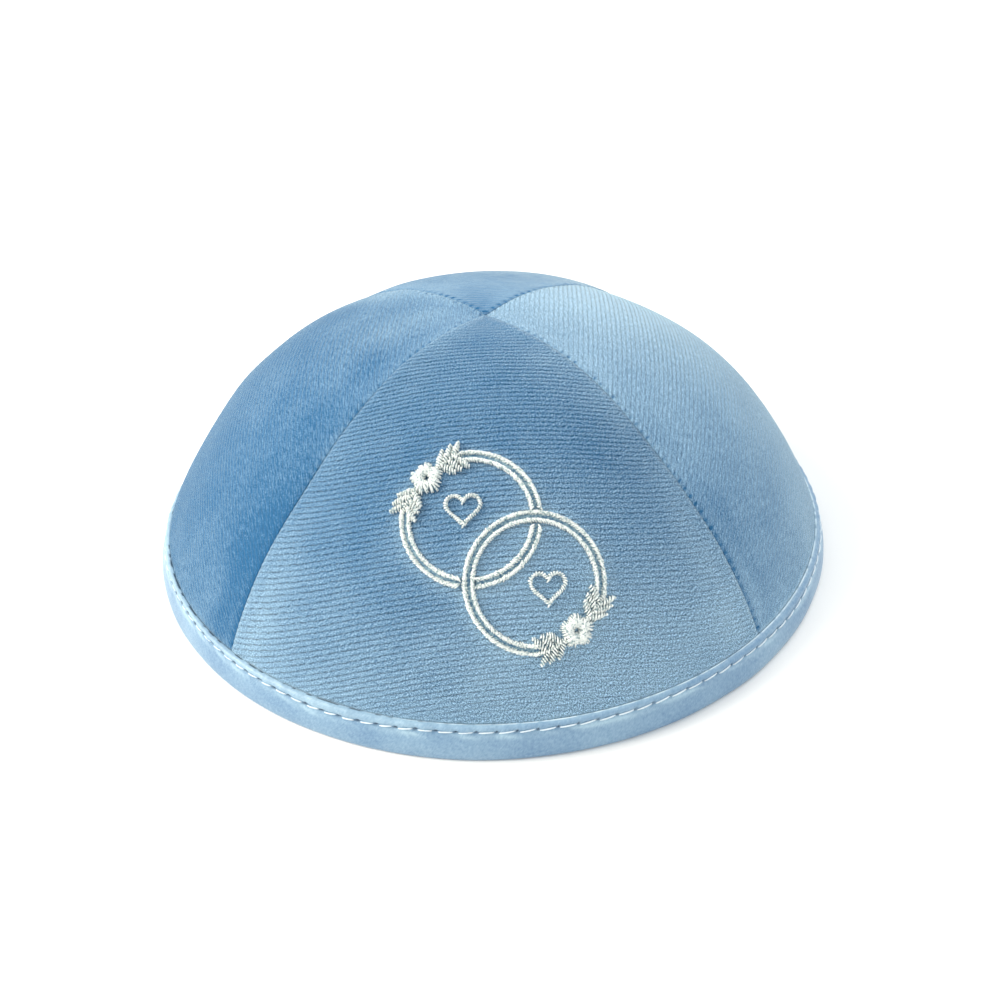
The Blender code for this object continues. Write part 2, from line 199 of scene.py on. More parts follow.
# The cloth's soft unevenness, let go above the heights where the binding grips it.
# Columns: across_mm, down_mm, seed, height_mm.
UNEVEN = ((9.0, 11.0, 5.0, 0.14), (1.3, 1.1, 8.0, 0.02))
FREE_HEIGHTS = (7.3, 9.3)
# The rings press the cloth in. Beside them the pile is spread pale, and painted light lifts the
# shade about the rings.
RING_PRESS, RING_PRESS_WIDTH = 0.12, 1.5
RING_HALO, RING_HALO_WIDTH = 0.2, 2.3
# The wall of the cloth, thinner inside the binding, and the seam allowances on its back.
CLOTH, HEM_THINNER = 1.6, 0.3
THINNER_DEG = (82.3, 83.6)
ALLOWANCE = 0.7
ALLOWANCE_EDGE = (5.8, 5.4)
ALLOWANCE_END_DEG = (83.0, 81.8)

HEM_RADIUS = 73.7
HEM_LEAN_DEG = 14.5
HEM_HALF = 0.6
HEM_TOP = 6.6
HEM_BOTTOM = 1.35

# Columns: radius_mm, height_mm.
OUTER_SECTION = (
    (74.30, 0.02),
    (74.86, 0.04),
    (75.18, 0.35),
    (75.28, 0.90),
    (75.16, 2.30),
    (74.78, 3.80),
    (74.34, 5.00),
    (74.17, 5.60),
    (74.05, 6.10),
    (73.98, 6.42),
    (73.84, 6.74),
    (73.54, 6.99),
    (73.14, 7.13),
    (72.86, 7.13),
    (72.69, 7.03),
    (72.74, 6.72),
)
# Rows of the outer section that face outwards, and steps of its curve that take the relief.
OUTER_WALL = slice(3, 12)
OUTER_STEPS = 34
RELIEF_STEPS = slice(3, OUTER_STEPS - 1)
# The lip's relief ends between these radii, clear of the velvet.
LIP_FREE = (72.9, 73.4)
INNER_SECTION = (
    (74.28, 1.25),
    (73.40, 0.95),
    (72.58, 0.80),
    (71.04, 6.60),
    (70.90, 6.92),
    (70.62, 6.98),
    (70.36, 6.70),
    (70.62, 5.40),
    (71.68, 0.90),
    (71.82, 0.25),
    (72.20, 0.02),
)
BINDING_SEGMENTS = 1240
STITCH_HEIGHT = 6.05
STITCH_RADIUS = 74.02
# The sewn line wanders up and down the binding.
# Columns: turn_deg, spread_deg, up_mm.
STITCH_DRIFT = ((-60, 13, 0.45), (-24, 9, -0.6), (6, 12, 0.1), (30, 10, 0.25), (54, 9, -0.6))
INNER_STITCH = (70.52, 5.40)
STITCH_SINK = 0.08
STITCH_SLANT = 0.09
STITCH_WANDER = 0.04
STITCH_ARCH = 1.2
# A stitch's share of extra length on the right, and the share of it that is covered on the left.
STITCH_LONGER = 0.22
STITCH_COVERED = 0.45
# Where the thread was pulled less, on the right, and where the satin has closed over it, on the
# left: turns in degrees from none to all, and from none to all again on the way back.
RIGHTWARD_DEG = ((-20, 10), (170, 140))
LEFTWARD_DEG = ((-32, -56), (-170, -150))

# Embroidery, drawn on flat sheets laid on the crown.
# Columns: name, centre_x_mm, centre_y_mm, centre_z_mm, flower_turn_deg, over.
RINGS = (
    ("upper", -3.63, -50.07, 36.29, 135, "lower"),
    ("lower", 7.80, -58.62, 27.72, -50, None),
)
# Columns: ring, right_mm, up_mm.
HEARTS = (("upper", -1.3, 1.6), ("lower", 2.2, -1.0))
HEART_WIDTH = 6.4
HEART_LINE_WIDTH = 0.88
LINE_RADII = (12.92, 11.45)
LINE_MIDDLE = 0.5 * sum(LINE_RADII)
LINE_WIDTH = 0.84
LINE_SLANT_DEG = 42.0
RING_OPEN_HALF_DEG = 36.0
# How far the lower line breaks off beside the ring that is laid over it.
UNDER_MARGIN = 0.75
FLOWER_RADIUS = 2.45
FLOWER_LOBES = 5
FLOWER_LOBE_DEPTH = 1.0
FLOWER_FIRST_DEG = 26.0
FLOWER_EYE_RADIUS = 0.45
FLOWER_RING_RADIUS = 11.4
# Layers of petals, each domed, with deep narrow gaps between the petals.
# Columns: shift_deg, rise_mm.
PETAL_LAYERS = ((0, 0.10), (9, 0.17), (4.5, 0.24), (13, 0.30))
PETAL_GAP_POWER = 0.7
PETAL_DOME = 0.35
# Petal stitches fan out, so they are drawn thicker to meet at their outer ends.
PETAL_THREAD_SHARE = 0.82
# The padding's share of a stitch's width to each side, and of its height.
PADDING_SHARE = 0.34
PADDING_RISE = 0.30
PADDING_SECTION = ((-1.0, -0.4), (-0.7, 0.6), (0.0, 1.0), (0.7, 0.6), (1.0, -0.4))
SPRAY_TURNS_DEG = (13.0, 36.0)
SPRAY_RADIUS = 12.0
SPRAY_WIDTH = 4.2
STEM_TURNS_DEG = (9.0, 39.0)
STEM_RADII = (11.2, 12.8)
STEM_WIDTH = 0.9
# Leaves of a spray. A positive splay leans out of the ring.
# Columns: foot_turn_deg, foot_radius_mm, length_mm, width_mm, splay_deg.
LEAVES = (
    (15.0, 11.7, 3.4, 1.6, 47),
    (22.5, 12.1, 3.4, 1.6, 48),
    (30.5, 12.6, 3.0, 1.45, 53),
    (18.5, 11.5, 2.8, 1.8, -53),
    (26.0, 11.7, 2.8, 1.8, -53),
    (33.0, 12.0, 3.0, 1.7, -46),
)
LEAF_THREAD_SHARE = 0.88
LEAF_NARROWEST = 0.5
# How the satin stitches of each part slant to its line, arch and lie above the cloth.
STEM_SLANT_DEG, LEAF_SLANT_DEG, HEART_SLANT_DEG = 60, 62, 60
LINE_ARCH, STEM_ARCH, LEAF_ARCH, PETAL_ARCH, HEART_ARCH = 0.6, 0.7, 0.85, 0.9, 0.7
STEM_BASE, LEAF_BASE = 0.1, 0.12
RING_PADDING, SPRAY_PADDING = 0.10, 0.14
LINE_STEPS, LINE_STRIDE, PADDING_STEPS = 480, 4, 240
# Columns: sides, steps, arch.
LONG_STITCH = (8, 8, 0.42)
SATIN_STITCH = (6, 7, 0.75)

# Camera, found from the rim's ellipse, the seams and the outline. The aim is from the rim's middle.
CAMERA_ELEVATION_DEG = 36.34
CAMERA_DISTANCE = 269.5
CAMERA_AIM = (1.77, 0.0, 3.66)
CAMERA_ROLL_DEG = 1.75
CAMERA_LENS = 41.83
# Columns: name, place_m, width_m, power_w, tint.
LAMPS = (
    ("window_left", (-1.80, 0.10, 1.20), 1.2, 55.0, "fff6e9"),
    ("window_back", (0.90, 1.20, 1.60), 1.2, 16.0, "ffffff"),
)
ROOM_TINT = "f5fafe"
ROOM_STRENGTH = 0.95
TABLE_HALF = 6000.0


def linear(hex_colour):
    """An sRGB colour such as "7fa8cf" as linear red, green and blue."""
    channels = [int(hex_colour[i : i + 2], 16) / 255 for i in (0, 2, 4)]
    return tuple(c / 12.92 if c <= 0.04045 else ((c + 0.055) / 1.055) ** 2.4 for c in channels)


def fade(value, start, end):
    """0 up to the start and 1 from the end on; the end may lie below the start."""
    return np.clip((value - start) / (end - start), 0.0, 1.0)


def hump(offset, spread, power=2):
    """1 at no offset, falling to 0 on both sides."""
    return np.exp(-((offset / spread) ** power))


def degrees_from(turn, middle_deg):
    return (np.degrees(turn) - middle_deg + 180) % 360 - 180


def drift(table, turn):
    """The sum of a table's soft humps at each turn."""
    return sum(size * hump(degrees_from(turn, middle), spread) for middle, spread, size in table)


def patches(table, turn, angle):
    """The sum of a table's soft round patches at each turn and angle."""
    return sum(
        amount * hump(degrees_from(turn, middle), spread) * hump(np.degrees(angle) - low, reach)
        for middle, low, spread, reach, amount in table
    )


def turned_share(turn, rise, fall):
    degrees = degrees_from(turn, 0)
    return fade(degrees, *rise) * fade(degrees, *fall)


def lattice_noise(x, y, seed):
    """Smooth noise from -1 to 1, with one value at each whole x and y."""
    x0, y0 = np.floor(x), np.floor(y)
    tx, ty = x - x0, y - y0
    tx, ty = tx * tx * (3 - 2 * tx), ty * ty * (3 - 2 * ty)

    def corner(i, j):
        value = np.sin((x0 + i) * 127.1 + (y0 + j) * 311.7 + seed * 74.7) * 43758.5453
        return 2 * (value - np.floor(value)) - 1

    lower = corner(0, 0) * (1 - tx) + corner(1, 0) * tx
    upper = corner(0, 1) * (1 - tx) + corner(1, 1) * tx
    return lower * (1 - ty) + upper * ty


def line_noise(x, seed):
    return lattice_noise(x, 0 * x, seed)


def lengths_along(points):
    steps = np.linalg.norm(np.diff(points, axis=0), axis=1)
    return np.concatenate(([0.0], np.cumsum(steps)))


def smooth_curve(knots, values, at):
    """A smooth curve through the values at the knots, read at other places."""
    slopes = np.gradient(values, knots, axis=0)
    k = np.clip(np.searchsorted(knots, at) - 1, 0, len(knots) - 2)
    step = knots[k + 1] - knots[k]
    t = (at - knots[k]) / step
    if values.ndim > 1:
        step, t = step[:, None], t[:, None]
    return (
        (2 * t**3 - 3 * t**2 + 1) * values[k]
        + (t**3 - 2 * t**2 + t) * step * slopes[k]
        + (3 * t**2 - 2 * t**3) * values[k + 1]
        + (t**3 - t**2) * step * slopes[k + 1]
    )


def crown_points(turn, angle):
    """The outer face in mm, at turns from -Y towards +X and angles from the vertical."""
    crown = np.array(CROWN)
    at_seam, at_middle = (
        smooth_curve(np.radians(crown[:, 0]), crown[:, column], angle) for column in (1, 2)
    )
    from_middle = (turn + math.pi / 4) % (math.pi / 2) - math.pi / 4
    towards_seam = (1 / np.cos(from_middle) - 1) / (math.sqrt(2) - 1)
    distance = (1 - towards_seam) * at_middle + towards_seam * at_seam
    low = fade(np.degrees(angle), RIM_DRAW_STARTS_DEG, CROWN_END_DEG)
    distance = distance + patches(SWELLINGS, turn, angle)
    distance = distance - drift(RIM_DRAWS, turn) * low * low * (3 - 2 * low)
    across = distance * np.sin(angle)
    return np.stack(
        (across * np.sin(turn), -across * np.cos(turn), distance * np.cos(angle)), axis=-1
    )


def crown_normals(turn, angle, panel_middle=0.0):
    step = 1e-3
    inner = math.pi / 4 - 2 * step
    turn = np.clip(turn, panel_middle - inner, panel_middle + inner)
    down = crown_points(turn, angle + step) - crown_points(turn, angle - step)
    along = crown_points(turn + step, angle) - crown_points(turn - step, angle)
    normals = np.cross(down, along)
    return normals / np.linalg.norm(normals, axis=-1, keepdims=True)


def turn_angle_of(points):
    points = np.asarray(points, float)
    turn = np.arctan2(points[..., 0], -points[..., 1])
    angle = np.arctan2(np.hypot(points[..., 0], points[..., 1]), points[..., 2])
    return turn, angle


def rim_points(turn, radius, height):
    radius = radius - drift(RIM_DRAWS, turn)
    height = np.broadcast_to(height, np.shape(radius))
    return np.stack((radius * np.sin(turn), -radius * np.cos(turn), height), axis=-1)


def polar(radius, turn):
    return np.stack((radius * np.cos(turn), radius * np.sin(turn)), axis=-1)


def grid_faces(ids):
    """Faces between the neighbouring rows and columns of a grid of point numbers."""
    corners = (ids[:-1, :-1], ids[1:, :-1], ids[1:, 1:], ids[:-1, 1:])
    return np.stack(corners, axis=-1).reshape(-1, 4).tolist()


class RingSheet:
    """A flat sheet laid on the crown at a ring's centre, on which the motif is drawn in mm."""

    def __init__(self, centre):
        turn, angle = turn_angle_of(centre)
        self.origin = crown_points(turn, angle)
        self.normal = crown_normals(turn, angle)
        right = np.array((1.0, 0.0, 0.0)) - self.normal[0] * self.normal
        self.right = right / np.linalg.norm(right)
        self.up = np.cross(self.normal, self.right)

    def place(self, drawn, height=0.0):
        """Drawn points on the crown, raised by a height, and the crown's normals there."""
        flat = self.origin + drawn[:, :1] * self.right + drawn[:, 1:2] * self.up
        turn, angle = turn_angle_of(flat)
        normals = crown_normals(turn, angle)
        height = np.broadcast_to(height, len(drawn))[:, None]
        return crown_points(turn, angle) + height * normals, normals

    def drawn_radius(self, points):
        away = points - self.origin
        return np.hypot(away @ self.right, away @ self.up)


RING_SHEETS = {name: RingSheet((x, y, z)) for name, x, y, z, _, _ in RINGS}


def feed(tree, node, inputs):
    """Sets each input to its value, or links it to the socket that feeds it."""
    for key, value in inputs.items():
        if isinstance(value, bpy.types.NodeSocket):
            tree.links.new(value, node.inputs[key])
        else:
            node.inputs[key].default_value = value


def add_node(tree, kind, inputs=None, **settings):
    """Adds a node with its settings and links."""
    node = tree.nodes.new(kind)
    for name, value in settings.items():
        setattr(node, name, value)
    feed(tree, node, inputs or {})
    return node


def new_material(name):
    """An empty Principled material: its tree, shader and object coordinates."""
    material = bpy.data.materials.new(name)
    material.use_nodes = True
    tree = material.node_tree
    coordinates = add_node(tree, "ShaderNodeTexCoord").outputs["Object"]
    return material, tree, tree.nodes["Principled BSDF"], coordinates


def mix_colours(tree, factor, first, second):
    ends = [c if isinstance(c, bpy.types.NodeSocket) else (*c, 1.0) for c in (first, second)]
    inputs = {0: factor, 6: ends[0], 7: ends[1]}
    return add_node(tree, "ShaderNodeMix", inputs, data_type="RGBA").outputs[2]


def maths(tree, operation, *values):
    inputs = dict(enumerate(values))
    return add_node(tree, "ShaderNodeMath", inputs, operation=operation).outputs[0]


def chain(tree, operation, first, *others):
    """Applies one operation with each of the other values in turn."""
    for other in others:
        first = maths(tree, operation, first, other)
    return first


def attribute_of(tree, name, output="Fac"):
    return add_node(tree, "ShaderNodeAttribute", attribute_name=name).outputs[output]


def noise_of(tree, vector, scale, detail=2.0, roughness=0.5):
    inputs = {"Vector": vector, "Scale": scale, "Detail": detail, "Roughness": roughness}
    return add_node(tree, "ShaderNodeTexNoise", inputs).outputs["Fac"]


def stretched(tree, vector, along, across, turn_deg=0.0):
    """The vector turned about Z, then scaled, so that a stretch runs along the turned axes."""
    turn = (0.0, 0.0, math.radians(turn_deg))
    turned = add_node(tree, "ShaderNodeMapping", {"Vector": vector, "Rotation": turn}).outputs[0]
    inputs = {"Vector": turned, "Scale": (along, across, 1.0)}
    return add_node(tree, "ShaderNodeMapping", inputs).outputs[0]


def centred(tree, noise, strength):
    """Noise spread evenly about 0, over a strength in all."""
    return maths(tree, "MULTIPLY_ADD", noise, strength, -0.5 * strength)


def clamped(tree, value):
    return add_node(tree, "ShaderNodeClamp", {"Value": value}).outputs[0]


def ramp(tree, value, low, high, to_low=0.0, to_high=1.0):
    inputs = {"Value": value, 1: low, 2: high, 3: to_low, 4: to_high}
    node = add_node(tree, "ShaderNodeMapRange", inputs, interpolation_type="SMOOTHSTEP")
    return node.outputs[0]


def bump_of(tree, height, strength, distance_mm, **inputs):
    inputs.update(Height=height, Strength=strength, Distance=distance_mm * MM)
    return add_node(tree, "ShaderNodeBump", inputs).outputs[0]


# The pile's grain at three sizes, as a noise's scales along and across the rib: tufts 0.3 mm
# across that lean along the rib, single fibres between them, and the long streaks of a stroking
# hand. Then how far the grain lightens the nap, and how far grain and grooves darken it.
# Columns: along, across, lean_deg, strength.
TUFTS, FIBRES, STREAKS = (5.6, 2.7, 38.0, 2.8), (10.0, 5.0, 30.0, 3.2), (0.7, 3.4, 4.0, 1.8)
GRAIN_LIGHT, GRAIN_SHADE, GROOVE_SHADE, MARKS = 0.38, 0.3, 0.56, 0.36


def ribbed_velvet(colours):
    """Cotton velvet woven in fine ribs. Its cut pile is dull head-on and pale where it is seen
    along the pile. Its soft lighter and darker patches are partly brushed by handling and partly
    painted light and shade."""
    material, tree, shader, place = new_material("ribbed_cotton_velvet")
    # The cloth's own coordinates: mm along a rib, and ribs counted down the panel.
    weave = attribute_of(tree, "weave", "Vector")
    ribs = add_node(tree, "ShaderNodeSeparateXYZ", {0: weave}).outputs[1]
    sway = noise_of(tree, stretched(tree, weave, 0.9, 0.5), 1.0)
    ribs = maths(tree, "MULTIPLY_ADD", sway, 0.5, ribs)
    from_crest = maths(tree, "ABSOLUTE", maths(tree, "SUBTRACT", maths(tree, "FRACT", ribs), 0.5))
    # Pile that has fallen over a groove breaks its line every millimetre or so.
    fallen = noise_of(tree, stretched(tree, weave, 1.8, 0.9), 1.0)
    groove = ramp(tree, from_crest, 0.28, 0.48)
    unbroken = ramp(tree, fallen, 0.34, 0.62, 0.3)
    groove = chain(tree, "MULTIPLY", groove, unbroken, attribute_of(tree, "ribbing"))

    def pile(along, across, lean_deg, strength):
        noise = noise_of(tree, stretched(tree, weave, along, across, lean_deg), 1.0, detail=1.0)
        return centred(tree, noise, strength)

    grain = maths(tree, "ADD", pile(*TUFTS), pile(*FIBRES))
    grain = maths(tree, "MULTIPLY", grain, attribute_of(tree, "grain"))
    streaks = attribute_of(tree, "streaks")
    grain = maths(tree, "MULTIPLY_ADD", pile(*STREAKS), streaks, grain)
    mark = centred(tree, noise_of(tree, place, 95.0, 3.0, 0.55), MARKS)
    # The brushed lightness, with painted light and shade in it, plus random marks.
    brushed = maths(tree, "ADD", attribute_of(tree, "nap_and_painted_light"), mark)
    light = clamped(tree, maths(tree, "MULTIPLY_ADD", grain, GRAIN_LIGHT, brushed))
    cloth = mix_colours(tree, light, colours.velvet, colours.velvet_light)
    depth = maths(tree, "MAXIMUM", maths(tree, "MULTIPLY_ADD", grain, GRAIN_SHADE, 1.0), 0.3)
    shade = maths(tree, "MULTIPLY_ADD", groove, -GROOVE_SHADE, 1.0)
    shade = maths(tree, "MULTIPLY", shade, depth)
    shaded = add_node(tree, "ShaderNodeVectorMath", {0: cloth, "Scale": shade}, operation="SCALE")
    look = {
        "Base Color": shaded.outputs[0],
        "Normal": bump_of(tree, maths(tree, "SUBTRACT", grain, groove), 0.5, 0.1),
        "Roughness": 0.9,
        "Sheen Weight": 0.65,
        "Sheen Roughness": 0.3,
        "Sheen Tint": (*linear("e6efe6"), 1.0),
        "IOR": 1.45,
        "Specular IOR Level": 0.2,
    }
    feed(tree, shader, look)
    return material


def woven_backing(colours):
    """The velvet's plain cotton back, a flat dull weave seen inside the cap."""
    material, tree, shader, place = new_material("plain_cotton_backing")
    # Threads 0.4 mm apart, drawn as crossed waves.
    threads = {"Vector": place, "Scale": 400.0}
    warp, weft = (
        add_node(tree, "ShaderNodeTexWave", threads, bands_direction=axis).outputs["Fac"]
        for axis in "XY"
    )
    weave = maths(tree, "MULTIPLY", warp, weft)
    look = {
        "Base Color": mix_colours(tree, weave, colours.backing_shade, colours.backing),
        "Normal": bump_of(tree, weave, 0.5, 0.1),
        "Roughness": 0.85,
        "Sheen Weight": 0.15,
    }
    feed(tree, shader, look)
    return material


def bias_satin(colours):
    """Polyester satin cut on the bias: a fine slanted weave with a soft silky gloss."""
    material, tree, shader, place = new_material("polyester_satin_bias")
    strip = add_node(tree, "ShaderNodeUVMap", uv_map="strip").outputs[0]
    # Floats of the weave 0.2 mm apart along the bias, slubs that break them up, soft cloudy
    # creases, and painted highlights under the sewn line and on the lip.
    floats = noise_of(tree, stretched(tree, strip, 4.6, 1.3, 38.0), 1.0)
    slub = noise_of(tree, place, 1500.0)
    creases = maths(tree, "MULTIPLY", noise_of(tree, place, 70.0), 0.7)
    painted_highlight = maths(tree, "MULTIPLY", attribute_of(tree, "painted_highlight"), 0.55)
    fine = centred(tree, floats, 0.7), centred(tree, slub, 0.5)
    light = clamped(tree, chain(tree, "ADD", *fine, creases, painted_highlight))
    cloth = mix_colours(tree, light, colours.satin, colours.satin_light)
    # The lip's edge gets its painted shine, then the needle holes their painted shade.
    cloth = mix_colours(tree, attribute_of(tree, "shine"), cloth, colours.satin_shine)
    cloth = mix_colours(tree, attribute_of(tree, "needle_hole_shade"), cloth, colours.needle_hole_shade)
    look = {
        "Base Color": cloth,
        "Normal": bump_of(tree, slub, 0.15, 0.1, Normal=bump_of(tree, floats, 0.45, 0.15)),
        "Roughness": 0.42,
        "Sheen Weight": 0.3,
        "Sheen Roughness": 0.3,
        "Sheen Tint": (*linear("e4f4fb"), 1.0),
        "IOR": 1.5,
    }
    feed(tree, shader, look)
    return material


def embroidery_thread(name, dark, light, low, high):
    """Trilobal rayon, spun glossy and off-white; the twist of its plies breaks the shine up."""
    material, tree, shader, place = new_material(name)
    # Shadows between the plies, drawn 0.35 mm across so that they show.
    ply = ramp(tree, noise_of(tree, place, 2600.0), low, high)
    look = {
        "Base Color": mix_colours(tree, ply, dark, light),
        "Normal": bump_of(tree, ply, 0.3, 0.08),
        "Roughness": 0.38,
        "Sheen Weight": 0.2,
        "IOR": 1.5,
    }
    feed(tree, shader, look)
    return material


def sewing_thread(colours):
    """Spun polyester sewing thread, pale blue and slightly glossy, with a visible twist."""
    material, tree, shader, place = new_material("spun_polyester_thread")
    ply = noise_of(tree, place, 2500.0)
    cloth = mix_colours(tree, ply, colours.stitch_shade, colours.stitch)
    feed(tree, shader, {"Base Color": cloth, "Roughness": 0.45, "Sheen Weight": 0.2})
    return material


def linked_object(name, mesh):
    obj = bpy.data.objects.new(name, mesh)
    bpy.context.scene.collection.objects.link(obj)
    return obj


def mesh_object(name, points, faces, materials, smooth=True):
    mesh = bpy.data.meshes.new(name)
    mesh.from_pydata((np.asarray(points) * MM).tolist(), [], faces)
    for material in materials:
        mesh.materials.append(material)
    if smooth:
        mesh.shade_smooth()
    return linked_object(name, mesh)


def store_attribute(mesh, name, values):
    """Stores a number, or a vector, for each point."""
    values = np.asarray(values, np.float32)
    kind, field = ("FLOAT_VECTOR", "vector") if values.shape[-1:] == (3,) else ("FLOAT", "value")
    attribute = mesh.attributes.new(name, kind, "POINT")
    attribute.data.foreach_set(field, values.ravel())


def finish_piece(obj, slot, *nodes):
    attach(obj, BODY)
    if nodes:
        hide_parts(*nodes)


def grown_mesh(source, name, tree, inputs):
    """Runs a geometry tree on an object once and keeps the result as a plain mesh object."""
    modifier = source.modifiers.new(name, "NODES")
    modifier.node_group = tree
    for item in tree.interface.items_tree:
        if item.item_type == "SOCKET" and item.in_out == "INPUT" and item.name in inputs:
            modifier[item.identifier] = inputs[item.name]
    graph = bpy.context.evaluated_depsgraph_get()
    mesh = bpy.data.meshes.new_from_object(source.evaluated_get(graph), depsgraph=graph)
    mesh.name = name
    bpy.data.objects.remove(source, do_unlink=True)
    return linked_object(name, mesh)


def column_turns(middle, angles):
    """Turns of each column of a panel along its run from the peak to the hem, in order."""
    reach = np.linalg.norm(crown_points(middle, angles)[..., :2], axis=-1)
    shrink = np.clip(reach / SEAM_FULL_RADIUS, 0.0, 1.0)
    sines = [np.clip(away * shrink / reach, 0.0, SEAM_COLUMN_SINE) for away in SEAM_COLUMNS]
    edges = [math.pi / 4 - np.arcsin(sine) for sine in sines]
    even = [share * edges[-1] for share in np.linspace(-1, 1, EVEN_COLUMNS + 2)[1:-1]]
    return middle + np.array([-edge for edge in edges] + even + edges[::-1])


def rib_measure(points, middle, panel):
    """A number in mm that is the same all along a rib and grows down the panel."""
    out = points @ np.array((math.sin(middle), -math.cos(middle), 0.0))
    side = points @ np.array((math.cos(middle), math.sin(middle), 0.0))
    about = np.arctan2(out, points[..., 2] - panel["line_height_mm"])
    return RIB_SCALE * about + panel["lean"] * side + panel["bow"] * side**2 / RIB_SCALE


def stitch_pull(distance, along):
    """From 0 to 1 where the stitches of a seam pull the cloth in beside it."""
    beat = 0.5 - 0.5 * np.cos(2 * math.pi * along / SEAM_STITCH)
    return beat**4 * hump(distance - SEAM_DIMPLE_AT, SEAM_DIMPLE_WIDTH)


class PanelGrid:
    """A panel's points in rows that follow its ribs, and columns that run from peak to hem."""

    def __init__(self, panel, pitch):
        self.middle = middle = math.radians(panel["turn_deg"])
        fine = np.radians(np.linspace(TIP_DEG, CROWN_END_DEG, PANEL_STEPS))
        turns = column_turns(middle, fine)
        self.end_turn = turns[:, -1]
        self.width = len(turns)
        # Ribs are evenly spaced along the panel's middle line.
        line = crown_points(np.full_like(fine, middle), fine)
        run = lengths_along(line)
        on_line = rib_measure(line, middle, panel)
        measures = rib_measure(crown_points(turns, fine[None, :]), middle, panel)
        grow = (run[-1] - run[-END_STEPS]) / (on_line[-1] - on_line[-END_STEPS])
        runs = np.interp(measures, on_line, run) + np.maximum(measures - on_line[-1], 0.0) * grow
        runs -= np.maximum(on_line[0] - measures, 0.0)
        first, last = math.floor(runs.min() / pitch), math.ceil(runs.max() / pitch)
        rows = np.array([(k + p) * pitch for k in range(first, last) for p in RIB_PHASES])
        # Each column's angle at each row; rows past its ends share its end point.
        self.angles = np.empty((len(rows), self.width))
        self.turns = np.empty_like(self.angles)
        for j in range(self.width):
            wobble = lattice_noise(np.full_like(rows, j * 0.35), rows / pitch / 5, 3.0)
            at = rows + RIB_JITTER * pitch * wobble
            self.angles[:, j] = np.interp(at, runs[j], fine)
            self.turns[:, j] = np.interp(self.angles[:, j], fine, turns[j])
        self.tops = np.searchsorted(rows, runs[:, 0])
        self.bottoms = np.maximum(np.searchsorted(rows, runs[:, -1]) - 1, self.tops)
        self.surface = crown_points(self.turns, self.angles)
        self.normals = crown_normals(self.turns, self.angles, middle)
        self.level = self.surface[..., 2]
        self.down = np.interp(self.angles, fine, run)
        self.side = self.surface @ np.array((math.cos(middle), math.sin(middle), 0.0))
        to_seam = np.abs(np.abs(self.turns - middle) - math.pi / 4)
        self.distance = np.linalg.norm(self.surface[..., :2], axis=-1) * np.sin(to_seam)
        self.ribs = (rows / pitch)[:, None] * np.ones_like(self.side)


def rib_grooves(grid):
    """From 0 on a rib to about 1 in a groove, whose depth wanders along it."""
    phase = grid.ribs - np.floor(grid.ribs)
    groove = hump(np.minimum(phase, 1 - phase), GROOVE_SHARE)
    apart = 7.3 * np.floor(grid.ribs + 0.5)
    depth = GROOVE_DEPTH + GROOVE_WANDER * lattice_noise(grid.side / GROOVE_LENGTH, apart, 11.0)
    return groove * np.clip(depth, *GROOVE_DEPTHS)


def velvet_looks(panel, grid):
    """What the velvet's material reads at each point: ribbing, grain, streaks, and lightness both
    brushed and painted.
    """
    turns, angles, distance = grid.turns, grid.angles, grid.distance
    to_edge = panel["edge_ribbing"] - panel["ribbing"]
    shown = panel["ribbing"] + to_edge * hump(distance, EDGE_RIBBING_WIDTH)
    shown = np.clip(shown + patches(RIBS, turns, angles), 0.0, MOST_RIBBING)
    shown = shown * (1 - LIP_FLAT * hump(grid.level - LIP_FLAT_AT, LIP_FLAT_SPREAD))
    tufted = np.full_like(shown, panel["grain"])
    if panel["name"] == EMBROIDERED_PANEL:
        brushed = fade(grid.side, *BRUSHED_SIDE)
        shown = shown * (1 - (1 - BRUSHED_RIBBING) * brushed)
        calm = fade(grid.side, *CALM_SIDE)
        tufted = tufted * (1 + (BRUSHED_GRAIN - 1) * brushed) * (1 - (1 - CALM_GRAIN) * calm)
    tufted *= 1 + patches(GRAINS, turns, angles)
    # Lightness: brushed pile with painted light, shade and highlights. Along the seams the fold is
    # partly pale pile and partly painted light and shade.
    light = panel["lightness"] + patches(NAP_AND_PAINTED_LIGHT, turns, angles)
    lower = panel["low_edge_lightness"] - panel["edge_lightness"]
    at_edge = panel["edge_lightness"] + lower * fade(np.degrees(angles), *LOW_EDGE_DEG)
    light += at_edge * hump(distance, EDGE_LIGHT_WIDTH)
    # Painted shade in the dimples that a seam's stitches pull, in dark ticks here and there.
    noise = line_noise(grid.down / TICK_LENGTH, 61.0 + panel["turn_deg"])
    tick_shade = TICK_SHADE + TICK_WANDER * noise
    light -= np.maximum(panel["seam_tick_shade"] * tick_shade, 0.0) * stitch_pull(distance, grid.down)
    # Painted light on the velvet just above the lip, against the crevice's shade.
    pale = LIP_PALE + LIP_PALE_RIGHT * turned_share(turns, *RIGHTWARD_DEG)
    light += pale * hump(grid.level - LIP_PALE_AT, LIP_PALE_SPREAD)
    streaks = np.full_like(shown, panel["streaks"])
    return {"ribbing": shown, "grain": tufted, "streaks": streaks, "nap_and_painted_light": light}


def velvet_height(panel, grid, rib_depth, shown):
    """The relief of the velvet's face: grooves, the seams' rolls and dimples, and unevenness."""
    turn_deg, distance = panel["turn_deg"], grid.distance
    height = -rib_depth * rib_grooves(grid) * shown
    height -= SEAM_ROLL * hump(distance, SEAM_ROLL_WIDTH)
    height += panel["edge_lift_mm"] * hump(distance - EDGE_LIFT_AT, EDGE_LIFT_WIDTH)
    height -= SEAM_DIMPLE * stitch_pull(distance, grid.down)
    swell = 1 + LIP_SWELL * line_noise(grid.side / LIP_SWELL_LENGTH, 15.0 + turn_deg)
    height += LIP_BULGE * swell * hump(grid.level - LIP_BULGE_AT, LIP_BULGE_SPREAD)
    free = fade(grid.level, *FREE_HEIGHTS)
    for across, down, seed, size in UNEVEN:
        noise = lattice_noise(grid.side / across, grid.down / down, seed + turn_deg)
        height += size * free * noise
    return height


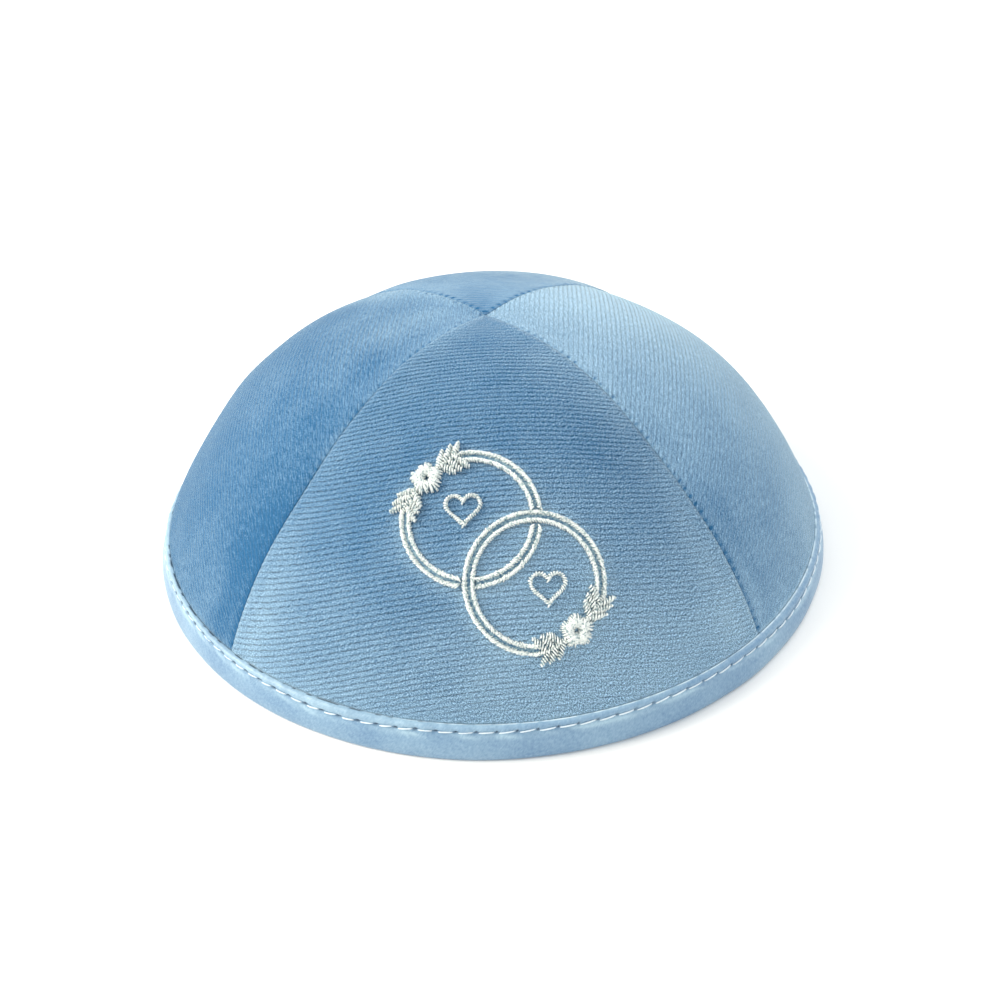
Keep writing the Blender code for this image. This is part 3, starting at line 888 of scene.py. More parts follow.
def velvet_back(grid):
    """The back of the cloth, thicker where the seam allowances lie pressed open."""
    degrees = np.degrees(grid.angles)
    allowance = fade(grid.distance, *ALLOWANCE_EDGE) * fade(degrees, *ALLOWANCE_END_DEG)
    wall = CLOTH - HEM_THINNER * fade(degrees, *THINNER_DEG) + ALLOWANCE * allowance
    turns = grid.turns
    across = np.stack((np.cos(turns), np.sin(turns), np.zeros_like(turns)), axis=-1)
    inwards = grid.normals - across * np.sum(grid.normals * across, axis=-1, keepdims=True)
    inwards /= np.linalg.norm(inwards, axis=-1, keepdims=True)
    return grid.surface - wall[..., None] * inwards


def hem_rows(grid, across):
    """Two rows of the hem inside the binding, at a distance across it."""
    lean = math.radians(HEM_LEAN_DEG)
    for along in (HEM_TOP, HEM_BOTTOM):
        radius = HEM_RADIUS - along * math.sin(lean) + across * math.cos(lean)
        level = along * math.cos(lean) + across * math.sin(lean)
        yield rim_points(grid.end_turn, radius, level)


def make_panel(panel, sizes, materials):
    name = panel["name"]
    grid = PanelGrid(panel, sizes.rib_pitch / MM)
    looks = velvet_looks(panel, grid)
    height = velvet_height(panel, grid, sizes.rib_depth / MM, looks["ribbing"])
    if name == EMBROIDERED_PANEL:
        for sheet in RING_SHEETS.values():
            from_ring = sheet.drawn_radius(grid.surface) - LINE_MIDDLE
            height -= RING_PRESS * hump(from_ring, RING_PRESS_WIDTH)
            # Painted light with the pale pile about each ring.
            looks["nap_and_painted_light"] += RING_HALO * hump(from_ring, RING_HALO_WIDTH, 4)
    looks["weave"] = np.stack((grid.side, grid.ribs, 0 * grid.side + panel["turn_deg"]), axis=-1)
    face = grid.surface + height[..., None] * grid.normals

    points, layers = [], []
    stored = {key: [] for key in looks}
    row_count = len(grid.ribs)
    for cloth, across in ((face, HEM_HALF), (velvet_back(grid), -HEM_HALF)):
        ids = np.empty((row_count + 2, grid.width), int)
        for j, (top, bottom) in enumerate(zip(grid.tops, grid.bottoms)):
            ids[:row_count, j] = len(points) + np.clip(np.arange(row_count), top, bottom) - top
            points.extend(cloth[top : bottom + 1, j])
            for key, values in looks.items():
                stored[key].extend(values[top : bottom + 1, j])
        for k, row in enumerate(hem_rows(grid, across)):
            ids[row_count + k] = len(points) + np.arange(grid.width)
            points.extend(row)
            for key, values in looks.items():
                stored[key].extend(values[-1])
        layers.append(ids)

    front, rear = layers
    grids = (
        (front, 0),
        (rear.T, 1),
        (np.stack((front[:, 0], rear[:, 0])), 0),
        (np.stack((front[:, -1], rear[:, -1]), axis=1), 0),
        (np.stack((front[0], rear[0]), axis=1), 0),
        (np.stack((front[-1], rear[-1])), 1),
    )
    faces, backs = [], []
    for ids, back in grids:
        # Rows past a column's end share its last point, so some faces lose corners.
        corners = [list(dict.fromkeys(face)) for face in grid_faces(ids)]
        corners = [face for face in corners if len(face) > 2]
        faces += corners
        backs += [back] * len(corners)
    obj = mesh_object(name.replace("gore", "velvet"), points, faces, materials)
    obj.data.polygons.foreach_set("material_index", backs)
    for key, values in stored.items():
        store_attribute(obj.data, key, values)
    finish_piece(obj, "velvet", name)


def stitch_level(turn):
    """The height of the sewn line on the binding's outside."""
    return STITCH_HEIGHT + drift(STITCH_DRIFT, turn)


def outer_radius(level):
    """The radius of the binding's outside at a height."""
    rows = np.array(OUTER_SECTION[OUTER_WALL])
    return np.interp(level, rows[:, 1], rows[:, 0])


def stitch_count(sizes):
    return round(2 * math.pi * STITCH_RADIUS * MM / sizes.stitch_pitch)


def binding_section():
    """The binding's closed section, up its outer side first, with its outward directions."""
    corners = np.array(OUTER_SECTION)
    knots = lengths_along(corners)
    outer = smooth_curve(knots, corners, np.linspace(0.0, knots[-1], OUTER_STEPS))
    section = np.concatenate((outer, np.array(INNER_SECTION)))
    ahead = np.roll(section, -1, axis=0) - np.roll(section, 1, axis=0)
    ahead /= np.linalg.norm(ahead, axis=1)[:, None]
    return section, np.stack((ahead[:, 1], -ahead[:, 0]), axis=1)


# The binding's relief in mm: needle holes, shorter on the right, and the groove of the sewn line.
HOLE_DEPTH, HOLE_HEIGHT, HOLE_UP = 0.4, 0.2, 0.1
HOLE_LENGTH, HOLE_SHORTER = 0.55, 0.28
LINE_GROOVE, LINE_GROOVE_HEIGHT = 0.16, 0.35
# Slanting puckers that die out beside the line, deeper on the left.
# Columns: around_mm, up_mm, seed, share.
PUCKERS = ((0.62, 1.4, 21.0, 1.0), (1.3, 2.2, 23.0, 0.6))
PUCKER_SLANT, PUCKER_REACH = 1.1, 1.9
PUCKER, PUCKER_LEFT = 0.07, 0.03
# Waves of the whole strip and of its lip, which also rises between the stitches.
STRIP_WAVE = 0.07
LIP_WAVE, LIP_WAVE_AT, LIP_WAVE_SPREAD = 0.06, 6.6, 0.45
LIP_RISE, LIP_RISE_WAVE, LIP_RISE_HEIGHTS = 0.08, 0.07, (5.9, 6.9)
# Painted highlights on the satin: under the sewn line, on the lip's crest and at its edge.
LINE_HIGHLIGHT_BELOW, LINE_HIGHLIGHT_SPREAD = 0.75, 0.6
CREST_HIGHLIGHT, CREST_RADIUS, CREST_SPREAD = 0.3, 73.3, 0.25
LIP_EDGE_RADIUS, LIP_EDGE_SPREAD = 72.85, 0.2
SHINE_RADIUS, TUCK_RADIUS = 72.9, 72.86
LEFT_LIP_HIGHLIGHT, LIP_LEFT_ABOVE = 0.7, (0.15, 0.45)
# Heights over which a point lies on the lip's crest, on its edge and on its outer edge, and the
# radius inside which the lip lies hidden.
CREST_LEVEL, EDGE_LEVEL, SHINE_LEVEL, HIDDEN_RADIUS = 6.5, 6.7, 6.8, 72.6
# How strongly the needle holes and the lip's hollow edge are painted with shade.
HOLE_SHADE, TUCK_SHADE = 1.8, 1.2


def make_binding(sizes, materials):
    section, outward = binding_section()
    turn = 2 * math.pi * np.arange(BINDING_SEGMENTS) / BINDING_SEGMENTS
    turn, radius = np.meshgrid(turn, section[:, 0], indexing="ij")
    level = np.broadcast_to(section[:, 1], radius.shape)
    relief = np.zeros(len(section))
    relief[RELIEF_STEPS] = 1.0
    relief = np.broadcast_to(relief * fade(section[:, 0], *LIP_FREE), radius.shape)
    around = turn * STITCH_RADIUS
    count = stitch_count(sizes)
    beat = turn / (2 * math.pi) * count
    between = 0.5 - 0.5 * np.cos(2 * math.pi * beat)
    to_hole = np.abs(beat - np.round(beat)) * 2 * math.pi * STITCH_RADIUS / count
    to_line = level - stitch_level(turn)
    rightward = turned_share(turn, *RIGHTWARD_DEG)

    hole = hump(to_hole, HOLE_LENGTH - HOLE_SHORTER * rightward)
    hole = hole * hump(to_line - HOLE_UP, HOLE_HEIGHT) * relief
    height = -HOLE_DEPTH * hole - LINE_GROOVE * hump(to_line, LINE_GROOVE_HEIGHT) * relief
    slanted = around + PUCKER_SLANT * to_line
    pucker = sum(
        share * lattice_noise(slanted / length, to_line / up, seed)
        for length, up, seed, share in PUCKERS
    )
    depth = PUCKER + PUCKER_LEFT * (1 - rightward)
    height += depth * pucker * hump(to_line, PUCKER_REACH) * relief
    height += STRIP_WAVE * lattice_noise(around / 9.0, level / 2.5, 37.0) * relief
    lip_wave = LIP_WAVE * (between + line_noise(around / 5.0, 31.0))
    height += lip_wave * hump(level - LIP_WAVE_AT, LIP_WAVE_SPREAD) * relief
    rise = LIP_RISE * between + LIP_RISE_WAVE * line_noise(around / 6.0, 41.0)
    rise *= fade(level, *LIP_RISE_HEIGHTS) * relief

    # Painted highlights: on the left the whole lip, on the right its crest and its broken edge.
    painted_highlight = hump(to_line + LINE_HIGHLIGHT_BELOW, LINE_HIGHLIGHT_SPREAD)
    crest = hump(radius - CREST_RADIUS, CREST_SPREAD) * (level > CREST_LEVEL)
    painted_highlight += CREST_HIGHLIGHT * crest * rightward
    painted_highlight *= np.clip(0.6 + 0.7 * lattice_noise(around / 2.6 + to_line, 0 * around, 47.0), 0, 1)
    at_edge = hump(radius - LIP_EDGE_RADIUS, LIP_EDGE_SPREAD) * (level > EDGE_LEVEL)
    painted_highlight += at_edge * (0.5 + 0.5 * rightward)
    painted_highlight += LEFT_LIP_HIGHLIGHT * (1 - rightward) * fade(to_line, *LIP_LEFT_ABOVE)
    broken = np.clip(1.1 + 1.3 * line_noise(around / 0.9, 59.0), 0, 1)
    shine = hump(radius - SHINE_RADIUS, LIP_EDGE_SPREAD, 4) * (level > SHINE_LEVEL)
    # The lip's edge is painted with shade on the left, wherever it lies hollow on the velvet.
    hollow = np.clip(0.3 + 3.0 * line_noise(around / 1.2, 53.0), 0, 1) * (1 - rightward)
    tucked = hump(radius - TUCK_RADIUS, LIP_EDGE_SPREAD, 4) * (level > EDGE_LEVEL) * hollow
    looks = {
        "needle_hole_shade": np.clip(HOLE_SHADE * hole - 0.2 + TUCK_SHADE * tucked, 0, 1),
        "painted_highlight": painted_highlight * (radius > HIDDEN_RADIUS),
        "shine": shine * broken * rightward,
    }

    low = np.maximum(level + height * outward[:, 1] + rise, 0.0)
    points = rim_points(turn, radius + height * outward[:, 0], low).reshape(-1, 3)
    ids = np.pad(np.arange(radius.size).reshape(radius.shape), ((0, 1), (0, 1)), "wrap")
    obj = mesh_object("satin_binding", points, grid_faces(ids), materials)
    for key, values in looks.items():
        store_attribute(obj.data, key, values.ravel())
    # The strip's own coordinates in mm: around the rim, and over the fold.
    over = np.broadcast_to(lengths_along(section), radius.shape)
    corners = np.empty(len(obj.data.loops), np.int32)
    obj.data.loops.foreach_get("vertex_index", corners)
    flat = np.stack((around.ravel(), over.ravel()), axis=1)[corners].reshape(-1, 4, 2)
    wraps = np.ptp(flat[:, :, 0], axis=1) > 100.0
    flat[:, :, 0] += (wraps[:, None] & (flat[:, :, 0] < 100.0)) * 2 * math.pi * STITCH_RADIUS
    strip = obj.data.uv_layers.new(name="strip")
    strip.data.foreach_set("uv", flat.astype(np.float32).ravel())
    finish_piece(obj, "satin_binding", "binding")


STITCH_VALUES = ("stitch_length", "thread_width", "stitch_arch", "stitch_turn")
STITCH_INPUTS = (
    ("Geometry", "NodeSocketGeometry"),
    ("Pitch", "NodeSocketFloat"),
    ("Stitch", "NodeSocketObject"),
    ("Loose Turn", "NodeSocketFloat"),
    ("Uneven", "NodeSocketFloat"),
    ("Seed", "NodeSocketInt"),
    ("Thread", "NodeSocketMaterial"),
)


def stitch_tree(name):
    """Lays stitches along strokes: each stroke's points carry the cloth's normal, the stitches'
    length, thickness and arch, and their turn from the stroke's own direction."""
    tree = bpy.data.node_groups.new(name, "GeometryNodeTree")
    for label, kind in STITCH_INPUTS:
        tree.interface.new_socket(label, in_out="INPUT", socket_type=kind)
    tree.interface.new_socket("Geometry", in_out="OUTPUT", socket_type="NodeSocketGeometry")
    given = tree.nodes.new("NodeGroupInput").outputs

    def node(kind, inputs=None, output=0, **settings):
        return add_node(tree, kind, inputs, **settings).outputs[output]

    def stored(label, kind="FLOAT"):
        return node("GeometryNodeInputNamedAttribute", {"Name": label}, data_type=kind)

    def spread(low, high, output, kind):
        inputs = {**low, **high, "Seed": given["Seed"]}
        return node("FunctionNodeRandomValue", inputs, output, data_type=kind)

    align = "FunctionNodeAlignRotationToVector"
    curve = node("GeometryNodeMeshToCurve", {0: given["Geometry"]})
    pitch = {"Curve": curve, "Length": given["Pitch"]}
    even = node("GeometryNodeResampleCurve", pitch, mode="LENGTH")
    upright = node(align, {"Vector": stored("cloth_normal", "FLOAT_VECTOR")}, axis="Z")
    along = {"Rotation": upright, "Vector": node("GeometryNodeInputTangent")}
    aimed = node(align, along, axis="X", pivot_axis="Z")
    loose = maths(tree, "MULTIPLY", given["Loose Turn"], -1.0)
    chance = spread({2: loose}, {3: given["Loose Turn"]}, 1, "FLOAT")
    swing = maths(tree, "ADD", stored("stitch_turn"), chance)
    spin = node("FunctionNodeEulerToRotation", {0: node("ShaderNodeCombineXYZ", {"Z": swing})})
    turn = {"Rotation": aimed, "Rotate By": spin}
    turned = node("FunctionNodeRotateRotation", turn, rotation_space="LOCAL")
    sides = dict(zip("XYZ", map(stored, STITCH_VALUES)))
    least = maths(tree, "SUBTRACT", 1.0, given["Uneven"])
    most = maths(tree, "ADD", 1.0, given["Uneven"])
    share = spread({0: least}, {1: most}, 0, "FLOAT_VECTOR")
    sizes = {0: node("ShaderNodeCombineXYZ", sides), 1: share}
    copies = {
        "Points": even,
        "Instance": node("GeometryNodeObjectInfo", {"Object": given["Stitch"]}, "Geometry"),
        "Rotation": turned,
        "Scale": node("ShaderNodeVectorMath", sizes, operation="MULTIPLY"),
    }
    placed = node("GeometryNodeInstanceOnPoints", copies)
    whole = node("GeometryNodeRealizeInstances", {0: placed})
    smooth = node("GeometryNodeSetShadeSmooth", {0: whole})
    coated = {"Geometry": smooth, "Material": given["Thread"]}
    painted = node("GeometryNodeSetMaterial", coated)
    feed(tree, tree.nodes.new("NodeGroupOutput"), {0: painted})
    return tree


def template(name, sides, steps, arch):
    """A hidden stitch, 1 m long on X so that sizes in metres scale it: a thread of unit
    thickness that dives down at both ends."""
    points = []
    around = 2 * math.pi * np.arange(sides) / sides
    for k in range(steps + 1):
        share = k / steps
        lift = arch * (1 - abs(2 * share - 1) ** 2.6)
        half = 0.5 * (0.55 + 0.45 * math.sin(math.pi * share) ** 0.5)
        loop = polar(half, around) + (0.0, lift)
        points.extend((share - 0.5, *corner) for corner in loop)
    ids = np.arange(len(points)).reshape(-1, sides)
    faces = grid_faces(np.pad(ids, ((0, 0), (0, 1)), "wrap").T)
    faces += [ids[0, ::-1].tolist(), ids[-1].tolist()]
    obj = mesh_object(name, np.array(points) / MM, faces, [])
    obj.hide_render = True
    return obj


def stitched_piece(name, strokes, shape, inputs):
    """Stitches laid along strokes, as one plain mesh."""
    points, normals, edges = [], [], []
    values = {key: [] for key in STITCH_VALUES}
    for stroke in strokes:
        start, count = len(points), len(stroke["points"])
        points.extend(stroke["points"])
        normals.extend(stroke["normals"])
        for key in values:
            values[key].extend(np.broadcast_to(stroke[key], count))
        edges.extend((start + k, start + k + 1) for k in range(count - 1))
        if stroke["closed"]:
            edges.append((start + count - 1, start))
    mesh = bpy.data.meshes.new(name)
    mesh.from_pydata((np.array(points) * MM).tolist(), edges, [])
    for key, column in values.items():
        scale = 1.0 if key == "stitch_turn" else MM
        store_attribute(mesh, key, np.array(column) * scale)
    store_attribute(mesh, "cloth_normal", normals)
    tree = stitch_tree(shape.name + "es")
    obj = grown_mesh(linked_object(name, mesh), name, tree, {"Stitch": shape, **inputs})
    bpy.data.objects.remove(shape, do_unlink=True)
    return obj


def stroke_of(points, normals, *values, closed=False):
    stroke = dict(zip(STITCH_VALUES, values))
    return {"points": points, "normals": normals, "closed": closed, **stroke}


def top_stitch(middle, facing, number, sizes):
    """One stitch through the binding, as a very short stroke that carries one stitch."""
    thread = sizes.stitch_thread / MM
    rightward = float(turned_share(middle, *RIGHTWARD_DEG))
    length = sizes.stitch_length / MM * (1.0 + STITCH_LONGER * rightward)
    half = 0.01 * length / STITCH_RADIUS
    turns = np.array((middle - half, middle + half))
    lean = math.radians(HEM_LEAN_DEG)
    radius, level = INNER_STITCH
    shown = 1.0
    if facing > 0:
        level = stitch_level(turns)
        radius = outer_radius(level)
        radius = radius - STITCH_SINK * (1 - turned_share(turns, *RIGHTWARD_DEG))
        shown = 1.0 - STITCH_COVERED * float(turned_share(middle, *LEFTWARD_DEG))
    radius = radius - facing * STITCH_SINK
    wander = STITCH_WANDER * math.sin(number * 2.399)
    out = math.cos(lean) * np.array((np.sin(turns), -np.cos(turns)))
    points = rim_points(turns, np.full(2, radius), level + wander)
    normals = facing * np.stack((*out, np.full(2, math.sin(lean))), axis=-1)
    width, arch = (0.5 + 0.5 * shown) * thread, STITCH_ARCH * shown * thread
    slant = facing * STITCH_SLANT + STITCH_WANDER * math.sin(number * 1.7)
    return stroke_of(points, normals, length, width, arch, slant)


def make_top_stitches(sizes, material):
    """One row of long stitches through the binding, seen on its outer and its inner leg."""
    count = stitch_count(sizes)
    inputs = {"Pitch": 1.0, "Loose Turn": 0.04, "Uneven": 0.08, "Seed": 5, "Thread": material}
    for name, facing in (("outer_stitches", 1.0), ("inner_stitches", -1.0)):
        middles = [2 * math.pi * (k + 0.5) / count for k in range(count)]
        strokes = [top_stitch(turn, facing, k, sizes) for k, turn in enumerate(middles)]
        shape = template("long_stitch", *LONG_STITCH)
        finish_piece(stitched_piece(name, strokes, shape, inputs), "thread")


def drawn_stroke(sheet, path, width, turn_deg, lift, sizes, closed=False, base=0.0, fat=1.0):
    thread = fat * sizes.satin_thread / MM
    laid = sheet.place(path, base)
    return stroke_of(*laid, width, thread, lift, math.radians(turn_deg), closed=closed)


def open_arcs(name, flower_turn, over, radius, steps):
    """A ring's line on its sheet, open at its flower, in the parts that pass under no ring."""
    opening = RING_OPEN_HALF_DEG
    turns = np.linspace(flower_turn + opening, flower_turn + 360 - opening, steps)
    path = polar(radius, np.radians(turns))
    if not over:
        return [path]
    points, _ = RING_SHEETS[name].place(path)
    away = RING_SHEETS[over].drawn_radius(points)
    clear = (away < LINE_RADII[1] - UNDER_MARGIN) | (away > LINE_RADII[0] + UNDER_MARGIN)
    cuts = np.flatnonzero(np.diff(clear.astype(int))) + 1
    return [part for part, kept in zip(np.split(path, cuts), np.split(clear, cuts)) if kept[0]]


def spray_strokes(sheet, flower_turn, side, sizes):
    """A stem beside the flower and its leaves, from the cloth up."""
    turns = np.radians(flower_turn + side * np.linspace(*STEM_TURNS_DEG, 12))
    stem = polar(np.linspace(*STEM_RADII, 12), turns)
    yield drawn_stroke(sheet, stem, STEM_WIDTH, STEM_SLANT_DEG, STEM_ARCH, sizes, base=STEM_BASE)
    for foot_turn, foot_radius, length, width, splay in LEAVES:
        turn = math.radians(flower_turn + side * foot_turn)
        way = turn + side * (math.pi / 2 - math.radians(splay))
        shares = np.linspace(0.05, 1.0, 9)
        path = polar(foot_radius, turn) + polar(length * shares, way)
        widths = width * np.sin(math.pi * (0.12 + 0.80 * shares)) ** 0.55
        slant = LEAF_SLANT_DEG if splay > 0 else 180 - LEAF_SLANT_DEG
        shape = np.maximum(widths, LEAF_NARROWEST), slant, LEAF_ARCH
        yield drawn_stroke(sheet, path, *shape, sizes, base=LEAF_BASE, fat=LEAF_THREAD_SHARE)


def flower_strokes(sheet, flower_turn, sizes):
    centre = polar(FLOWER_RING_RADIUS, math.radians(flower_turn))
    for shift_deg, base in PETAL_LAYERS:
        around = np.radians(np.linspace(0, 360, 91)[:-1] + shift_deg)
        from_petal = 0.5 * FLOWER_LOBES * (around - math.radians(FLOWER_FIRST_DEG))
        lobes = np.abs(np.cos(from_petal)) ** PETAL_GAP_POWER
        outside = FLOWER_RADIUS + FLOWER_LOBE_DEPTH * (2 * lobes - 1.25)
        path = centre + polar(0.5 * (outside + FLOWER_EYE_RADIUS), around)
        fan = outside - FLOWER_EYE_RADIUS
        dome = base + PETAL_DOME * (lobes - 0.75)
        shape = fan, 90, PETAL_ARCH
        yield drawn_stroke(sheet, path, *shape, sizes, True, dome, PETAL_THREAD_SHARE)


def ring_strokes(ring, sizes):
    """One ring's lines, its leafy sprays and its flower, from the cloth up. The lines break off
    where the ring laid over them passes."""
    name, _, _, _, flower_turn, over = ring
    sheet = RING_SHEETS[name]
    length = LINE_WIDTH / math.sin(math.radians(LINE_SLANT_DEG))
    for radius, slant in zip(LINE_RADII, (LINE_SLANT_DEG, 180 - LINE_SLANT_DEG)):
        for part in open_arcs(name, flower_turn, over, radius, LINE_STEPS):
            yield drawn_stroke(sheet, part[::LINE_STRIDE], length, slant, LINE_ARCH, sizes)
    for side in (-1, 1):
        yield from spray_strokes(sheet, flower_turn, side, sizes)
    yield from flower_strokes(sheet, flower_turn, sizes)


def heart_path(right, up):
    t = np.linspace(0, 2 * math.pi, 81)[:-1]
    x = 16 * np.sin(t) ** 3
    y = 13 * np.cos(t) - 5 * np.cos(2 * t) - 2 * np.cos(3 * t) - np.cos(4 * t)
    scale = HEART_WIDTH / 32
    return np.stack((right + scale * x, up + scale * (y + 2.5)), axis=1)


def padding_bands(ring, sizes):
    """Low padding that closes the gap between a ring's lines and fills its leafy sprays."""
    name, _, _, _, flower_turn, over = ring
    gap = LINE_RADII[0] - LINE_RADII[1]
    parts = open_arcs(name, flower_turn, over, LINE_MIDDLE, PADDING_STEPS)
    bands = [(part, gap, RING_PADDING) for part in parts]
    for side in (-1, 1):
        turns = np.radians(flower_turn + side * np.linspace(*SPRAY_TURNS_DEG, 16))
        widths = SPRAY_WIDTH * np.sin(math.pi * np.linspace(0.03, 0.92, 16)) ** 0.8
        bands.append((polar(SPRAY_RADIUS, turns), widths, SPRAY_PADDING))
    for path, widths, rise in bands:
        width, lift = widths / (2 * PADDING_SHARE), rise / PADDING_RISE
        yield drawn_stroke(RING_SHEETS[name], path, width, 90, lift, sizes)


def underlay(strokes, material):
    """Low bands of padding thread under the satin stitches."""
    points, faces = [], []
    for stroke in strokes:
        line, normals = stroke["points"], stroke["normals"]
        count = len(line)
        if stroke["closed"]:
            ahead = np.roll(line, -1, axis=0) - np.roll(line, 1, axis=0)
        else:
            ahead = np.gradient(line, axis=0)
        ahead /= np.linalg.norm(ahead, axis=1)[:, None]
        across = np.cross(normals, ahead)
        slant = abs(math.sin(stroke["stitch_turn"]))
        half = PADDING_SHARE * slant * np.broadcast_to(stroke["stitch_length"], count)[:, None]
        top = PADDING_RISE * stroke["stitch_arch"]
        start = len(points)
        for share, rise in PADDING_SECTION:
            points.extend(line + share * half * across + rise * top * normals)
        ids = start + np.arange(len(points) - start).reshape(-1, count)
        closed = int(stroke["closed"])
        faces += grid_faces(np.pad(ids, ((0, 1), (0, closed)), "wrap"))
        if not closed:
            faces += [ids[::-1, 0].tolist(), ids[:, -1].tolist()]
    return mesh_object("embroidery_padding", points, faces, [material])


def make_embroidery(sizes, thread, padding_thread):
    strokes = [stroke for ring in RINGS for stroke in ring_strokes(ring, sizes)]
    for ring, right, up in HEARTS:
        drawn = heart_path(right, up), HEART_LINE_WIDTH, HEART_SLANT_DEG, HEART_ARCH
        strokes.append(drawn_stroke(RING_SHEETS[ring], *drawn, sizes, True))
    bands = [band for ring in RINGS for band in padding_bands(ring, sizes)]
    finish_piece(underlay(strokes + bands, padding_thread), "thread")
    inputs = {"Loose Turn": 0.2, "Uneven": 0.16, "Seed": 11, "Thread": thread}
    inputs["Pitch"] = sizes.satin_pitch
    shape = template("satin_stitch", *SATIN_STITCH)
    stitches = stitched_piece("embroidery_stitches", strokes, shape, inputs)
    finish_piece(stitches, "thread", "embroidery", "heart_upper", "heart_lower")


def make_table(colours):
    corners = [(-TABLE_HALF, -TABLE_HALF), (TABLE_HALF, -TABLE_HALF)]
    corners += [(TABLE_HALF, TABLE_HALF), (-TABLE_HALF, TABLE_HALF)]
    points = [(x, y, CAD_BOX[0][2] / MM) for x, y in corners]
    material, tree, shader, _ = new_material("matt_white_table")
    feed(tree, shader, {"Base Color": (*colours.floor, 1.0), "Roughness": 0.9})
    table = mesh_object("table", points, [(0, 1, 2, 3)], [material], smooth=False)


def make_lights(scene):
    world = bpy.data.worlds.new("soft_white_room")
    world.use_nodes = True
    tree = world.node_tree
    room = {"Color": (*linear(ROOM_TINT), 1.0), "Strength": ROOM_STRENGTH}
    feed(tree, tree.nodes["Background"], room)
    scene.world = world
    for name, place, width, power, tint in LAMPS:
        light = bpy.data.lights.new(name, "AREA")
        light.shape = "SQUARE"
        light.size = width
        light.energy = power
        light.color = linear(tint)
        lamp = linked_object(name, light)
        lamp.location = place
        lamp.rotation_mode = "QUATERNION"
        lamp.rotation_quaternion = (-Vector(place)).to_track_quat("-Z", "Y")


def make_camera(scene):
    rise = math.radians(CAMERA_ELEVATION_DEG)
    back = Vector((0.0, -math.cos(rise), math.sin(rise)))
    up = Vector((0.0, math.sin(rise), math.cos(rise)))
    axes = Matrix((Vector((1.0, 0.0, 0.0)), up, back)).transposed().to_4x4()
    roll = Matrix.Rotation(math.radians(-CAMERA_ROLL_DEG), 4, "Z")
    place = (Vector(CAMERA_AIM) + CAMERA_DISTANCE * back) * MM
    lens = bpy.data.cameras.new("photo_camera")
    lens.sensor_width = 36.0
    lens.lens = CAMERA_LENS
    lens.clip_start = 0.01
    camera = linked_object("photo_camera", lens)
    camera.matrix_world = Matrix.Translation(place) @ axes @ roll
    scene.camera = camera
    scene.view_settings.view_transform = "Standard"


def length_of(label, about, default, low, high):
    words = {"name": label, "description": about, "unit": "LENGTH"}
    return bpy.props.FloatProperty(default=default, min=low, max=high, precision=5, **words)


def colour_of(label, about, default):
    words = {"name": label, "description": about, "subtype": "COLOR"}
    return bpy.props.FloatVectorProperty(default=linear(default), min=0, max=1, size=3, **words)


class SkullcapSizes(bpy.types.PropertyGroup):
    """Sizes of the cloth and the stitches."""

    rib_pitch: length_of("Rib Pitch", "From one velvet rib to the next", 0.00103, 0.0005, 0.004)
    rib_depth: length_of("Rib Depth", "Grooves between the ribs", 0.0002, 0.0, 0.001)
    stitch_pitch: length_of("Stitch Pitch", "Between needle holes", 0.00372, 0.002, 0.008)
    stitch_length: length_of("Stitch Length", "Visible in the binding", 0.0024, 0.001, 0.008)
    stitch_thread: length_of("Stitch Thread", "Its thickness", 0.00026, 0.0002, 0.001)
    satin_pitch: length_of("Satin Pitch", "Between satin stitches", 0.00047, 0.0002, 0.001)
    satin_thread: length_of("Satin Thread", "Its thickness", 0.00036, 0.0002, 0.001)


class SkullcapColours(bpy.types.PropertyGroup):
    """Colours of the cloth, thread and table."""

    velvet: colour_of("Velvet", "Velvet seen into the pile", "2c648f")
    # The pale end of the velvet: brushed pile, and painted light and highlights.
    velvet_light: colour_of("Brushed Velvet", "Velvet brushed pale", "a0c0d5")
    backing: colour_of("Backing", "Cotton back of the velvet", "6f93b4")
    backing_shade: colour_of("Backing Shade", "Between the backing's threads", "33597b")
    satin: colour_of("Satin", "Binding in shade", "5c82a6")
    satin_light: colour_of("Lit Satin", "Binding's bright floats", "a8c6d6")
    satin_shine: colour_of("Satin Edge", "Shine along the binding's folded lip", "e6f6fa")
    # Painted shade in the needle holes and under the lip's hollow edge.
    needle_hole_shade: colour_of("Needle Hole", "Holes beside the stitches", "1e3850")
    thread: colour_of("Embroidery Thread", "Embroidery thread", "f6f9f4")
    thread_shade: colour_of("Thread Shade", "Between the thread's plies", "98b0b2")
    # The padding is painted in shade: its thread darker than the top thread, and the velvet's blue
    # darkened between its stitches.
    padding_shade: colour_of("Padding Shade", "Velvet between the padding", "3f6b88")
    padding: colour_of("Padding Thread", "Thread under the stitches", "90adb8")
    stitch: colour_of("Stitch Thread", "Sewing thread of the binding", "f1f7f9")
    stitch_shade: colour_of("Stitch Shade", "Between the sewing thread's plies", "c6dae4")
    floor: colour_of("Table", "White table", "fbf9f5")


def cap_settings(context):
    return context.scene.skullcap_sizes, context.scene.skullcap_colours


class SKULLCAP_OT_panels(bpy.types.Operator):
    """Make the four ribbed velvet panels"""

    bl_idname = "skullcap.panels"
    bl_label = "Make Velvet Panels"

    def execute(self, context):
        sizes, colours = cap_settings(context)
        cloth = [ribbed_velvet(colours), woven_backing(colours)]
        for row in PANELS:
            make_panel(dict(zip(PANEL_COLUMNS, row)), sizes, cloth)
        return {"FINISHED"}


class SKULLCAP_OT_binding(bpy.types.Operator):
    """Make the satin binding round the edge"""

    bl_idname = "skullcap.binding"
    bl_label = "Make Binding"

    def execute(self, context):
        sizes, colours = cap_settings(context)
        make_binding(sizes, [bias_satin(colours)])
        return {"FINISHED"}


class SKULLCAP_OT_stitches(bpy.types.Operator):
    """Sew the binding's stitches"""

    bl_idname = "skullcap.stitches"
    bl_label = "Sew Binding"

    def execute(self, context):
        sizes, colours = cap_settings(context)
        make_top_stitches(sizes, sewing_thread(colours))
        return {"FINISHED"}


